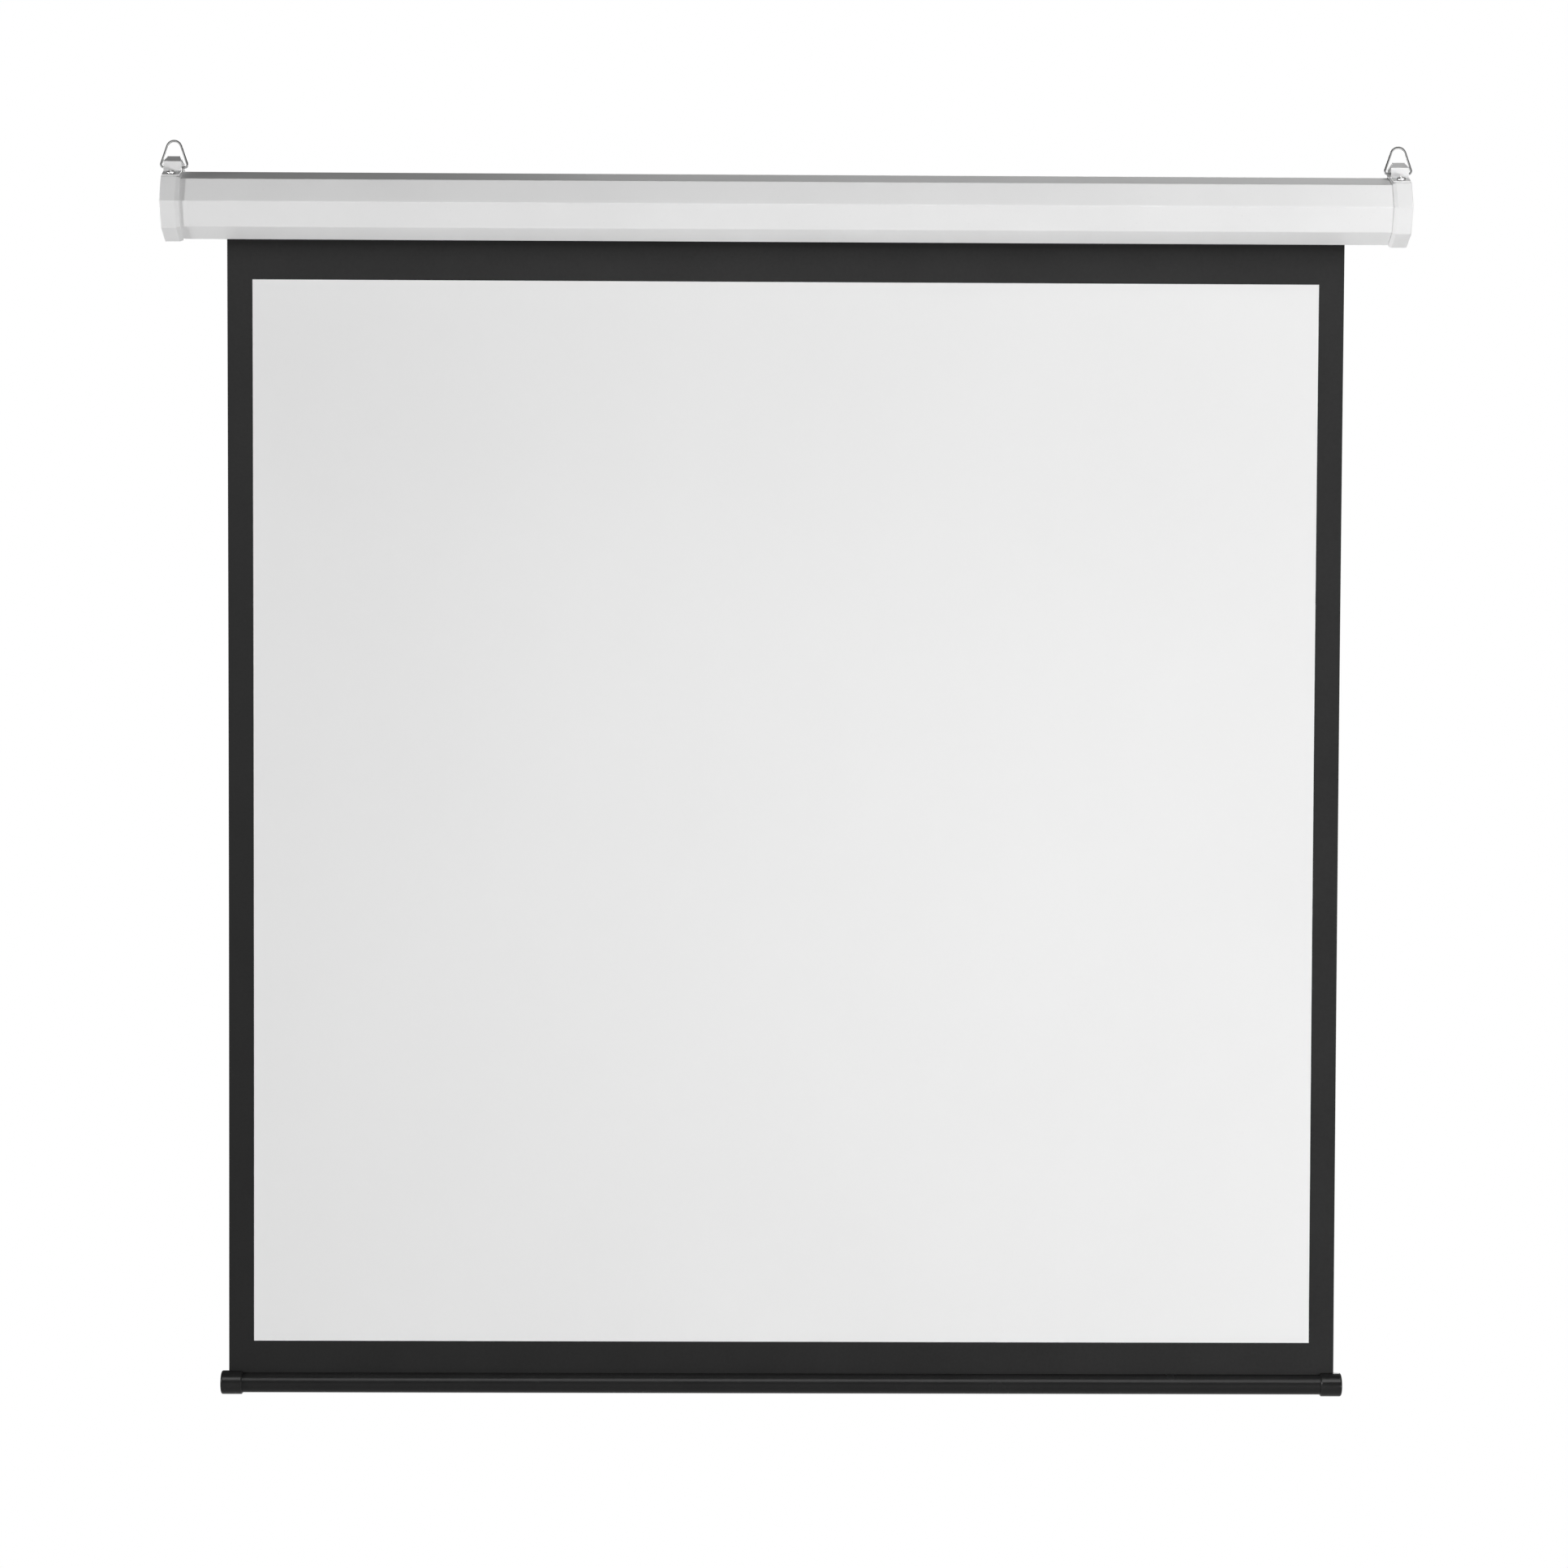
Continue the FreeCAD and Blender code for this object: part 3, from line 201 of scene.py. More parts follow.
def shader_group(name, inputs, outputs):
    group = bpy.data.node_groups.new(name, "ShaderNodeTree")
    for socket, kind in inputs:
        group.interface.new_socket(name=socket, in_out="INPUT", socket_type=kind)
    for socket in outputs:
        group.interface.new_socket(name=socket, in_out="OUTPUT", socket_type=FLOAT)
    return group, add(group, "NodeGroupInput").outputs, add(group, "NodeGroupOutput").inputs


def make_surface_grain():
    """Fine grain of a coat or moulding, with slow clouds of tone and a few specks."""
    group, given, result = shader_group(
        "surface_grain",
        [("Vector", VECTOR), ("Grain per Metre", FLOAT), ("Clouds per Metre", FLOAT)],
        ["Height", "Clouds", "Specks"])
    link = group.links.new
    grain = add(group, "ShaderNodeTexNoise", None, {
        "Vector": given["Vector"], "Scale": given["Grain per Metre"], "Detail": 3.0, "Roughness": 0.6})
    pits = add(group, "ShaderNodeTexVoronoi", None, {
        "Vector": given["Vector"], "Scale": given["Grain per Metre"]})
    height = math_node(group, "MULTIPLY_ADD", pits.outputs["Distance"], PIT_SHARE, grain.outputs["Fac"])
    link(height, result["Height"])
    clouds = add(group, "ShaderNodeTexNoise", None, {
        "Vector": given["Vector"], "Scale": given["Clouds per Metre"], "Detail": 4.0, "Roughness": 0.55})
    link(clouds.outputs["Fac"], result["Clouds"])
    speck_scale = math_node(group, "MULTIPLY", given["Grain per Metre"], SPECK_SPACING)
    specks = add(group, "ShaderNodeTexVoronoi", None, {
        "Vector": given["Vector"], "Scale": speck_scale, "Randomness": 1.0})
    link(math_node(group, "LESS_THAN", specks.outputs["Distance"], SPECK_SIZE), result["Specks"])
    return group


def make_drawn_lines():
    """Fine lines along one direction, as on drawn wire, rolled sheet or a turned face."""
    group, given, result = shader_group(
        "drawn_lines",
        [("Vector", VECTOR), ("Lines per Metre", FLOAT), ("Stretch", VECTOR)],
        ["Height", "Tone"])
    link = group.links.new
    along = add(group, "ShaderNodeVectorMath", {"operation": "MULTIPLY"}, {
        0: given["Vector"], 1: given["Stretch"]})
    lines = add(group, "ShaderNodeTexNoise", None, {
        "Vector": along.outputs[0], "Scale": given["Lines per Metre"], "Detail": 4.0, "Roughness": 0.65})
    link(lines.outputs["Fac"], result["Height"])
    tone = add(group, "ShaderNodeTexNoise", None, {
        "Vector": along.outputs[0], "Detail": 2.0,
        "Scale": math_node(group, "MULTIPLY", given["Lines per Metre"], LINE_TONE_SPACING)})
    link(tone.outputs["Fac"], result["Tone"])
    return group


def make_cloth_weave():
    """Crossed threads in the X and Z directions, with a little unevenness."""
    group, given, result = shader_group(
        "cloth_weave", [("Vector", VECTOR), ("Threads per Metre", FLOAT)], ["Height", "Slubs"])
    link = group.links.new
    parts = add(group, "ShaderNodeSeparateXYZ", None, {0: given["Vector"]})
    turns = math_node(group, "MULTIPLY", given["Threads per Metre"], math.pi)
    across = math_node(group, "SINE", math_node(group, "MULTIPLY", parts.outputs["X"], turns))
    down = math_node(group, "SINE", math_node(group, "MULTIPLY", parts.outputs["Z"], turns))
    crossing = math_node(group, "MULTIPLY", across, down)
    height = math_node(group, "MULTIPLY_ADD", crossing, 0.5, 0.5)
    slubs = add(group, "ShaderNodeTexNoise", None, {
        "Vector": given["Vector"], "Detail": 3.0,
        "Scale": math_node(group, "MULTIPLY", given["Threads per Metre"], SLUB_SPACING)})
    link(math_node(group, "MULTIPLY_ADD", slubs.outputs["Fac"], SLUB_SHARE, height), result["Height"])
    link(slubs.outputs["Fac"], result["Slubs"])
    return group


SURFACE_GRAIN = make_surface_grain()
DRAWN_LINES = make_drawn_lines()
CLOTH_WEAVE = make_cloth_weave()


def grey(value):
    return (value, value, value, 1.0)


class Finish:
    """A material under construction: its Principled shader and what feeds it."""

    def __init__(self, name, rough, metallic=0.0, **constants):
        self.material = bpy.data.materials.new(name)
        self.material.use_nodes = True
        self.tree = self.material.node_tree
        self.shader = self.tree.nodes["Principled BSDF"]
        self.place = add(self.tree, "ShaderNodeTexCoord").outputs["Object"]
        self.shader.inputs["Roughness"].default_value = rough
        self.shader.inputs["Metallic"].default_value = metallic
        for socket, value in constants.items():
            self.shader.inputs[socket.replace("_", " ")].default_value = value

    def group(self, group, **inputs):
        values = {"Vector": self.place}
        for socket, value in inputs.items():
            values[socket.replace("_", " ")] = value
        return add(self.tree, "ShaderNodeGroup", {"node_tree": group}, values).outputs

    def colour(self, mask, low, high):
        """Base colour between two greys or colours along a mask."""
        spread = add(self.tree, "ShaderNodeMapRange", None, {
            "Value": mask, "From Min": MASK_LOW, "From Max": MASK_HIGH})
        mix = add(self.tree, "ShaderNodeMix", {"data_type": "RGBA"}, {
            "Factor": spread.outputs[0], 6: low, 7: high})
        self.tree.links.new(mix.outputs[2], self.shader.inputs["Base Color"])
        return mix.outputs[2]

    def darker(self, base, mask, share):
        """Base colour lowered where a mask is 1."""
        mix = add(self.tree, "ShaderNodeMix", {"data_type": "RGBA", "blend_type": "MULTIPLY"}, {
            "Factor": mask, 6: base, 7: grey(share)})
        self.tree.links.new(mix.outputs[2], self.shader.inputs["Base Color"])

    def gloss(self, mask, low, high):
        """Roughness between two values along a mask."""
        spread = add(self.tree, "ShaderNodeMapRange", None, {
            "Value": mask, "From Min": MASK_LOW, "From Max": MASK_HIGH, "To Min": low, "To Max": high})
        self.tree.links.new(spread.outputs[0], self.shader.inputs["Roughness"])

    def bump(self, height, depth, strength):
        node = add(self.tree, "ShaderNodeBump", None, {
            "Height": height, "Distance": depth, "Strength": strength})
        self.tree.links.new(node.outputs[0], self.shader.inputs["Normal"])


# Finishes of the outside

def case_paint():
    """White satin powder coat on the folded case."""
    made = Finish("case_paint", 0.36)
    grain = made.group(SURFACE_GRAIN, Grain_per_Metre=900.0, Clouds_per_Metre=7.0)
    base = made.colour(grain["Clouds"], grey(0.80), grey(0.83))
    made.darker(base, grain["Specks"], 0.97)
    made.gloss(grain["Clouds"], 0.33, 0.41)
    made.bump(grain["Height"], 0.05 * MM, 0.25)
    return made.material


def cap_moulding():
    """White end cap plastic with a fine eroded texture."""
    made = Finish("cap_moulding", 0.42)
    grain = made.group(SURFACE_GRAIN, Grain_per_Metre=2200.0, Clouds_per_Metre=18.0)
    made.colour(grain["Clouds"], grey(0.80), grey(0.83))
    made.gloss(grain["Clouds"], 0.38, 0.47)
    made.bump(grain["Height"], 0.04 * MM, 0.35)
    return made.material


def strap_paint():
    """White coat on the bent strap steel."""
    made = Finish("strap_paint", 0.34)
    grain = made.group(SURFACE_GRAIN, Grain_per_Metre=1100.0, Clouds_per_Metre=40.0)
    base = made.colour(grain["Clouds"], grey(0.79), grey(0.83))
    made.darker(base, grain["Specks"], 0.95)
    made.gloss(grain["Clouds"], 0.30, 0.40)
    made.bump(grain["Height"], 0.04 * MM, 0.3)
    return made.material


def bright_nickel():
    """Plated ring wire with faint drawing lines."""
    made = Finish("bright_nickel", 0.12, 1.0)
    lines = made.group(DRAWN_LINES, Lines_per_Metre=2600.0, Stretch=(0.15, 1.0, 0.15))
    made.colour(lines["Tone"], grey(0.48), grey(0.60))
    made.gloss(lines["Tone"], 0.09, 0.17)
    made.bump(lines["Height"], 0.01 * MM, 0.2)
    return made.material


def zinc_plate():
    """Screws and nuts."""
    made = Finish("zinc_plate", 0.28, 1.0)
    grain = made.group(SURFACE_GRAIN, Grain_per_Metre=3000.0, Clouds_per_Metre=160.0)
    made.colour(grain["Clouds"], grey(0.46), grey(0.58))
    made.gloss(grain["Clouds"], 0.22, 0.36)
    made.bump(grain["Height"], 0.01 * MM, 0.3)
    return made.material


def screen_white():
    """Matt white viewing coat with a fine embossed grain."""
    made = Finish("screen_white", 0.85, Specular_IOR_Level=0.25)
    grain = made.group(SURFACE_GRAIN, Grain_per_Metre=1500.0, Clouds_per_Metre=3.0)
    made.colour(grain["Clouds"], grey(0.865), grey(0.88))
    made.bump(grain["Height"], 0.05 * MM, 0.3)
    return made.material


def screen_black():
    """Matt black border and back coat over a fine woven cloth."""
    made = Finish("screen_black", 0.62, Specular_IOR_Level=0.16)
    weave = made.group(CLOTH_WEAVE, Threads_per_Metre=1400.0)
    grain = made.group(SURFACE_GRAIN, Grain_per_Metre=1300.0, Clouds_per_Metre=9.0)
    base = made.colour(grain["Clouds"], grey(0.0095), grey(0.0125))
    made.darker(base, grain["Specks"], 0.9)
    made.gloss(weave["Slubs"], 0.55, 0.68)
    made.bump(weave["Height"], 0.04 * MM, 0.3)
    return made.material


def bar_coat():
    """Black powder coat of the bottom bar, with a coarse grain that sparkles."""
    made = Finish("bar_coat", 0.3, Specular_IOR_Level=0.10)
    grain = made.group(SURFACE_GRAIN, Grain_per_Metre=700.0, Clouds_per_Metre=14.0)
    made.colour(grain["Clouds"], grey(0.0145), grey(0.0175))
    made.gloss(grain["Clouds"], 0.22, 0.28)
    made.bump(grain["Height"], 0.12 * MM, 0.5)
    return made.material


def bar_cap_moulding():
    """Semi-gloss black plastic of the bar's end caps."""
    made = Finish("bar_cap_moulding", 0.22, Specular_IOR_Level=0.13)
    grain = made.group(SURFACE_GRAIN, Grain_per_Metre=2000.0, Clouds_per_Metre=60.0)
    made.colour(grain["Clouds"], grey(0.0145), grey(0.0175))
    made.gloss(grain["Clouds"], 0.18, 0.24)
    made.bump(grain["Height"], 0.03 * MM, 0.25)
    return made.material


# Finishes of the inside

def galvanized_sheet():
    """Bracket steel with the crystal pattern of a zinc bath."""
    made = Finish("galvanized_sheet", 0.4, 1.0)
    spangle = add(made.tree, "ShaderNodeTexVoronoi", None, {"Vector": made.place, "Scale": 140.0})
    tone = add(made.tree, "ShaderNodeSeparateColor", None, {0: spangle.outputs["Color"]})
    made.colour(tone.outputs[0], (0.46, 0.47, 0.48, 1.0), (0.58, 0.59, 0.60, 1.0))
    made.gloss(tone.outputs[1], 0.32, 0.48)
    grain = made.group(SURFACE_GRAIN, Grain_per_Metre=1500.0, Clouds_per_Metre=50.0)
    made.bump(grain["Height"], 0.01 * MM, 0.2)
    return made.material


def lined_metal(name, low, high, rough, stretch, lines):
    """Bare metal with machining or drawing lines."""
    made = Finish(name, rough, 1.0)
    drawn = made.group(DRAWN_LINES, Lines_per_Metre=lines, Stretch=stretch)
    made.colour(drawn["Tone"], low, high)
    made.gloss(drawn["Tone"], rough - 0.06, rough + 0.08)
    made.bump(drawn["Height"], 0.02 * MM, 0.3)
    return made.material


def machined_steel():
    return lined_metal("machined_steel", grey(0.42), grey(0.54), 0.3, (1.0, 0.12, 0.12), 2400.0)


def mill_aluminium():
    low, high = (0.66, 0.67, 0.68, 1.0), (0.77, 0.78, 0.79, 1.0)
    return lined_metal("mill_aluminium", low, high, 0.34, (0.04, 1.0, 1.0), 1500.0)


def core_laminations():
    """Stacked sheet steel of the stator and rotor, one line to a sheet."""
    low, high = (0.20, 0.20, 0.21, 1.0), (0.34, 0.34, 0.35, 1.0)
    return lined_metal("core_laminations", low, high, 0.45, (1.0, 0.02, 0.02), 1800.0)


def copper_winding():
    """Enamelled copper wire of the stator's end turns."""
    low, high = (0.42, 0.16, 0.06, 1.0), (0.62, 0.27, 0.11, 1.0)
    return lined_metal("copper_winding", low, high, 0.3, (1.0, 0.08, 0.08), 1300.0)


def grey_moulding():
    """Grey moulded plastic of the motor head, plugs, bush and cable gland."""
    made = Finish("grey_moulding", 0.48)
    grain = made.group(SURFACE_GRAIN, Grain_per_Metre=1800.0, Clouds_per_Metre=45.0)
    made.colour(grain["Clouds"], (0.27, 0.275, 0.28, 1.0), (0.31, 0.315, 0.32, 1.0))
    made.gloss(grain["Clouds"], 0.42, 0.54)
    made.bump(grain["Height"], 0.04 * MM, 0.35)
    return made.material


def lead_sheath():
    """Black rubber sheath of the motor lead."""
    made = Finish("lead_sheath", 0.6)
    grain = made.group(SURFACE_GRAIN, Grain_per_Metre=2600.0, Clouds_per_Metre=120.0)
    made.colour(grain["Clouds"], grey(0.03), grey(0.045))
    made.gloss(grain["Clouds"], 0.52, 0.66)
    made.bump(grain["Height"], 0.03 * MM, 0.3)
    return made.material


FINISHES = {
    "white_paint": case_paint(),
    "white_plastic": cap_moulding(),
    "strap_paint": strap_paint(),
    "black_paint": bar_coat(),
    "black_plastic": bar_cap_moulding(),
    "screen_white": screen_white(),
    "screen_black": screen_black(),
    "plated_wire": bright_nickel(),
    "plated_screw": zinc_plate(),
    "bracket_steel": galvanized_sheet(),
    "machined_steel": machined_steel(),
    "core_steel": core_laminations(),
    "tube_aluminium": mill_aluminium(),
    "winding_copper": copper_winding(),
    "grey_plastic": grey_moulding(),
    "lead_sheath": lead_sheath(),
}


def dress_nodes():
    """Give every carried-over part the finish of its material slot."""
    for entry in frame["record"]["subparts"]:
        mesh = nodes[entry["node"]].data
        mesh.materials.clear()
        mesh.materials.append(FINISHES[entry["material_slot"]])


# Geometry Nodes trees

COUNT = "NodeSocketInt"
MATERIAL = "NodeSocketMaterial"
OBJECT = "NodeSocketObject"
GEOMETRY = "NodeSocketGeometry"


def node_tree(name, inputs):
    """Empty tree with a geometry input and output, and named inputs for its sizes."""
    tree = bpy.data.node_groups.new(name, "GeometryNodeTree")
    for socket, kind in [("Geometry", GEOMETRY), *inputs]:
        tree.interface.new_socket(name=socket, in_out="INPUT", socket_type=kind)
    tree.interface.new_socket(name="Geometry", in_out="OUTPUT", socket_type=GEOMETRY)
    return tree, add(tree, "NodeGroupInput").outputs, add(tree, "NodeGroupOutput").inputs["Geometry"]


def end_tree(tree, geometry, material, result):
    """Close a tree with real geometry, smooth faces and its material."""
    real = add(tree, "GeometryNodeRealizeInstances", None, {"Geometry": geometry})
    smooth = add(tree, "GeometryNodeSetShadeSmooth", None, {"Geometry": real.outputs[0]})
    dressed = add(tree, "GeometryNodeSetMaterial", None, {
        "Geometry": smooth.outputs[0], "Material": material})
    tree.links.new(dressed.outputs[0], result)


def thickened(tree, surface, wall):
    """Closed sheet whose outer face is the given surface, with its wall inside."""
    turned = add(tree, "GeometryNodeFlipFaces", None, {"Mesh": surface})
    inner = add(tree, "GeometryNodeExtrudeMesh", {"mode": "FACES"}, {
        "Mesh": turned.outputs[0], "Offset Scale": wall, "Individual": False})
    joined = add(tree, "GeometryNodeJoinGeometry")
    tree.links.new(surface, joined.inputs[0])
    tree.links.new(inner.outputs["Mesh"], joined.inputs[0])
    merged = add(tree, "GeometryNodeMergeByDistance", None, {
        "Geometry": joined.outputs[0], "Distance": SEAM_REACH})
    return merged.outputs[0]


def drawn_out(tree, line, length):
    """Surface swept by a line of edges along X."""
    along = add(tree, "ShaderNodeCombineXYZ", None, {"X": length})
    swept = add(tree, "GeometryNodeExtrudeMesh", {"mode": "EDGES"}, {
        "Mesh": line, "Offset": along.outputs[0], "Offset Scale": 1.0})
    return swept.outputs["Mesh"]


def make_folded_sheet():
    """Sheet metal folded along an outline, with the same radius at every bend."""
    tree, given, result = node_tree("folded_sheet", [
        ("Length", FLOAT), ("Bend Radius", FLOAT), ("Bend Steps", COUNT), ("Wall", FLOAT),
        ("Finish", MATERIAL)])
    outline = add(tree, "GeometryNodeMeshToCurve", None, {"Mesh": given["Geometry"]})
    bent = add(tree, "GeometryNodeFilletCurve", {"mode": "POLY"}, {
        "Curve": outline.outputs[0], "Count": given["Bend Steps"], "Radius": given["Bend Radius"],
        "Limit Radius": True})
    line = add(tree, "GeometryNodeCurveToMesh", None, {"Curve": bent.outputs[0]})
    surface = drawn_out(tree, line.outputs[0], given["Length"])
    end_tree(tree, thickened(tree, surface, given["Wall"]), given["Finish"], result)
    return tree


def make_bent_wire():
    """Closed ring of round wire along an outline, each bend with its own radius."""
    tree, given, result = node_tree("bent_wire", [
        ("Wire Radius", FLOAT), ("Wire Sides", COUNT), ("Bend Steps", COUNT), ("Finish", MATERIAL)])
    outline = add(tree, "GeometryNodeMeshToCurve", None, {"Mesh": given["Geometry"]})
    radius = add(tree, "GeometryNodeInputNamedAttribute", {"data_type": "FLOAT"}, {"Name": "bend_radius"})
    bent = add(tree, "GeometryNodeFilletCurve", {"mode": "POLY"}, {
        "Curve": outline.outputs[0], "Count": given["Bend Steps"], "Radius": radius.outputs[0]})
    section = add(tree, "GeometryNodeCurvePrimitiveCircle", None, {
        "Resolution": given["Wire Sides"], "Radius": given["Wire Radius"]})
    wire = add(tree, "GeometryNodeCurveToMesh", None, {
        "Curve": bent.outputs[0], "Profile Curve": section.outputs[0]})
    end_tree(tree, wire.outputs[0], given["Finish"], result)
    return tree


def make_wound_fabric():
    """Fabric wound on a roller along X, its outer end at the rear."""
    tree, given, result = node_tree("wound_fabric", [
        ("Turns", FLOAT), ("Steps", COUNT), ("Inner Radius", FLOAT), ("Outer Radius", FLOAT),
        ("Length", FLOAT), ("Thickness", FLOAT), ("Finish", MATERIAL)])
    spiral = add(tree, "GeometryNodeCurveSpiral", None, {
        "Resolution": given["Steps"], "Rotations": given["Turns"], "Start Radius": given["Inner Radius"],
        "End Radius": given["Outer Radius"], "Height": 0.0, "Reverse": True})
    line = add(tree, "GeometryNodeCurveToMesh", None, {"Curve": spiral.outputs[0]})
    upright = add(tree, "GeometryNodeTransform", None, {
        "Geometry": line.outputs[0], "Rotation": (math.pi / 2, 0.0, math.pi / 2)})
    surface = drawn_out(tree, upright.outputs[0], given["Length"])
    end_tree(tree, thickened(tree, surface, given["Thickness"]), given["Finish"], result)
    return tree


def make_screw_set():
    """One screw at each point of the base, turned to the point's own direction."""
    tree, given, result = node_tree("screw_set", [
        ("Screw", OBJECT), ("Twist", FLOAT), ("Seed", COUNT), ("Finish", MATERIAL)])
    form = add(tree, "GeometryNodeObjectInfo", None, {"Object": given["Screw"]})
    axis = add(tree, "GeometryNodeInputNamedAttribute", {"data_type": "FLOAT_VECTOR"}, {"Name": "axis"})
    faced = add(tree, "FunctionNodeAlignRotationToVector", {"axis": "Z"}, {"Vector": axis.outputs[0]})
    twist = add(tree, "FunctionNodeRandomValue", {"data_type": "FLOAT"}, {
        3: given["Twist"], "Seed": given["Seed"]})
    turned = add(tree, "FunctionNodeAxisAngleToRotation", None, {
        "Axis": (0.0, 0.0, 1.0), "Angle": twist.outputs[1]})
    rotation = add(tree, "FunctionNodeRotateRotation", {"rotation_space": "LOCAL"}, {
        0: faced.outputs[0], 1: turned.outputs[0]})
    placed = add(tree, "GeometryNodeInstanceOnPoints", None, {
        "Points": given["Geometry"], "Instance": form.outputs["Geometry"], "Rotation": rotation.outputs[0]})
    end_tree(tree, placed.outputs[0], given["Finish"], result)
    return tree


def link(name, mesh):
    piece = bpy.data.objects.new(name, mesh)
    bpy.context.scene.collection.objects.link(piece)
    return piece


def settled(piece):
    """The piece with its modifiers turned into a plain mesh."""
    depsgraph = bpy.context.evaluated_depsgraph_get()
    mesh = bpy.data.meshes.new_from_object(piece.evaluated_get(depsgraph))
    mesh.name = piece.name
    piece.modifiers.clear()
    piece.data = mesh
    return piece


def grown(name, base, tree, values):
    """Piece that a Geometry Nodes tree makes from a base mesh."""
    piece = link(name, base)
    modifier = piece.modifiers.new(tree.name, "NODES")
    modifier.node_group = tree
    for item in tree.interface.items_tree:
        if item.in_out == "INPUT" and item.name in values:
            modifier[item.identifier] = values[item.name]
    return settled(piece)


def mesh_of(form, name):
    """Mesh from a finished bmesh, which is freed."""
    mesh = bpy.data.meshes.new(name)
    form.to_mesh(mesh)
    form.free()
    return mesh


def polyline(name, points, closed=False):
    """Mesh of edges from point to point."""
    mesh = bpy.data.meshes.new(name)
    edges = [(k, k + 1) for k in range(len(points) - 1)]
    if closed:
        edges.append((len(points) - 1, 0))
    mesh.from_pydata(points, edges, [])
    return mesh


def soften(form):
    """Smooth faces with sharp edges where they turn by more than a bend."""
    for face in form.faces:
        face.smooth = True
    for edge in form.edges:
        edge.smooth = edge.calc_face_angle(0.0) < SHARP_TURN


def flat_facets(piece):
    """Keep wide faces flat beside the small faces of a bend."""
    piece.modifiers.new("weighted", "WEIGHTED_NORMAL").keep_sharp = True
    return settled(piece)


# Case

case_low, case_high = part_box("case_shell")
case_axis = middle(case_low, case_high)
case_reach = (case_high.z - case_low.z) / 2
case_apothem = (case_reach - CASE_BEND) * math.cos(HALF_FACET) + CASE_BEND
case_edge = case_apothem / math.cos(HALF_FACET)
fabric_low, fabric_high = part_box("fabric_backing")
image_low, image_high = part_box("viewing_surface")
slot_front = image_low.y - SLOT_ROOM
slot_rear = fabric_high.y + SLOT_ROOM


def underside(y):
    """Height of the case's bottom rear facet."""
    return case_axis.z - case_edge + y * math.tan(HALF_FACET)


def folded_case():
    """Octagonal case folded from one sheet, with a lip turned up at each side of the slot."""
    front_lip_top = underside(slot_front) + CASE_WALL / 2 + SLOT_LIP
    rear_lip_top = underside(slot_rear + CASE_WALL) + CASE_WALL / 2 + SLOT_LIP
    points = [(slot_front, front_lip_top), (slot_front, underside(slot_front))]
    for k in range(CASE_SIDES):
        turn = -math.pi / 2 - k * 2 * HALF_FACET
        points.append((case_edge * math.cos(turn), case_axis.z + case_edge * math.sin(turn)))
    points += [(slot_rear, underside(slot_rear)), (slot_rear, rear_lip_top)]
    outline = polyline("case_outline", [(case_low.x, y, z) for y, z in points])
    case = grown("folded_case", outline, make_folded_sheet(), {
        "Length": case_high.x - case_low.x, "Bend Radius": CASE_BEND, "Bend Steps": CASE_BEND_STEPS,
        "Wall": CASE_WALL, "Finish": FINISHES["white_paint"]})
    case = flat_facets(case)
    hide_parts("case_shell")
    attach(case, "case")
    return case


# Hanger straps

def edged_copy(name, node, radius, finish):
    """Copy of a CAD part whose sharp edges are rounded."""
    form = bmesh.new()
    form.from_mesh(nodes[node].data)
    bmesh.ops.remove_doubles(form, verts=form.verts, dist=MERGE_REACH)
    bmesh.ops.dissolve_limit(form, angle_limit=FLAT_TURN, verts=form.verts, edges=form.edges)
    soften(form)
    mesh = mesh_of(form, name)
    mesh.materials.append(finish)
    piece = link(name, mesh)
    rounding = piece.modifiers.new("rounding", "BEVEL")
    rounding.width = radius
    rounding.segments = EDGE_STEPS
    rounding.limit_method = "ANGLE"
    rounding.angle_limit = SHARP_TURN
    rounding.use_clamp_overlap = False
    return flat_facets(piece)


def hanger_straps():
    """Bent straps with the rolled edges of strip steel."""
    for side in ("left", "right"):
        node = "hanger_strap_" + side
        strap = edged_copy("bent_strap_" + side, node, STRAP_EDGE, FINISHES["strap_paint"])
        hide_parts(node)
        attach(strap, "case")


# Hang rings

def ring_outline(node):
    """Triangle round the ring's bends, with the bend radius of each corner."""
    low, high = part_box(node)
    wire = (high.y - low.y) / 2
    place = middle(low, high)
    half_width = (high.x - low.x) / 2 - wire
    tall = high.z - low.z - 2 * wire
    lean = Vector((RING_CORNER_RADIUS - half_width, tall - RING_APEX_RADIUS - RING_CORNER_RADIUS))
    share = (RING_CORNER_RADIUS - RING_APEX_RADIUS) / lean.length
    along = lean.normalized()
    rest = math.sqrt(1 - share * share)
    normal = Vector((share * along.x + rest * along.y, share * along.y - rest * along.x))
    corner = Vector((half_width - RING_CORNER_RADIUS, RING_CORNER_RADIUS))
    reach = normal.dot(corner) + RING_CORNER_RADIUS
    bar_z = low.z + wire
    corner_x = reach / normal.x
    points = [
        (place.x - corner_x, place.y, bar_z),
        (place.x + corner_x, place.y, bar_z),
        (place.x, place.y, bar_z + reach / normal.y),
    ]
    mesh = polyline(node + "_outline", points, closed=True)
    radii = mesh.attributes.new("bend_radius", "FLOAT", "POINT")
    radii.data.foreach_set("value", [RING_CORNER_RADIUS, RING_CORNER_RADIUS, RING_APEX_RADIUS])
    return mesh, wire


def hang_rings():
    """Wire triangles that swing in the straps."""
    tree = make_bent_wire()
    rings = []
    for side in ("left", "right"):
        node = "hang_ring_" + side
        outline, wire = ring_outline(node)
        ring = grown("wire_ring_" + side, outline, tree, {
            "Wire Radius": wire, "Wire Sides": WIRE_SIDES, "Bend Steps": RING_BEND_STEPS,
            "Finish": FINISHES["plated_wire"]})
        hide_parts(node)
        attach(ring, "ring_" + side)
        rings.append(ring)
    return rings


# Screws

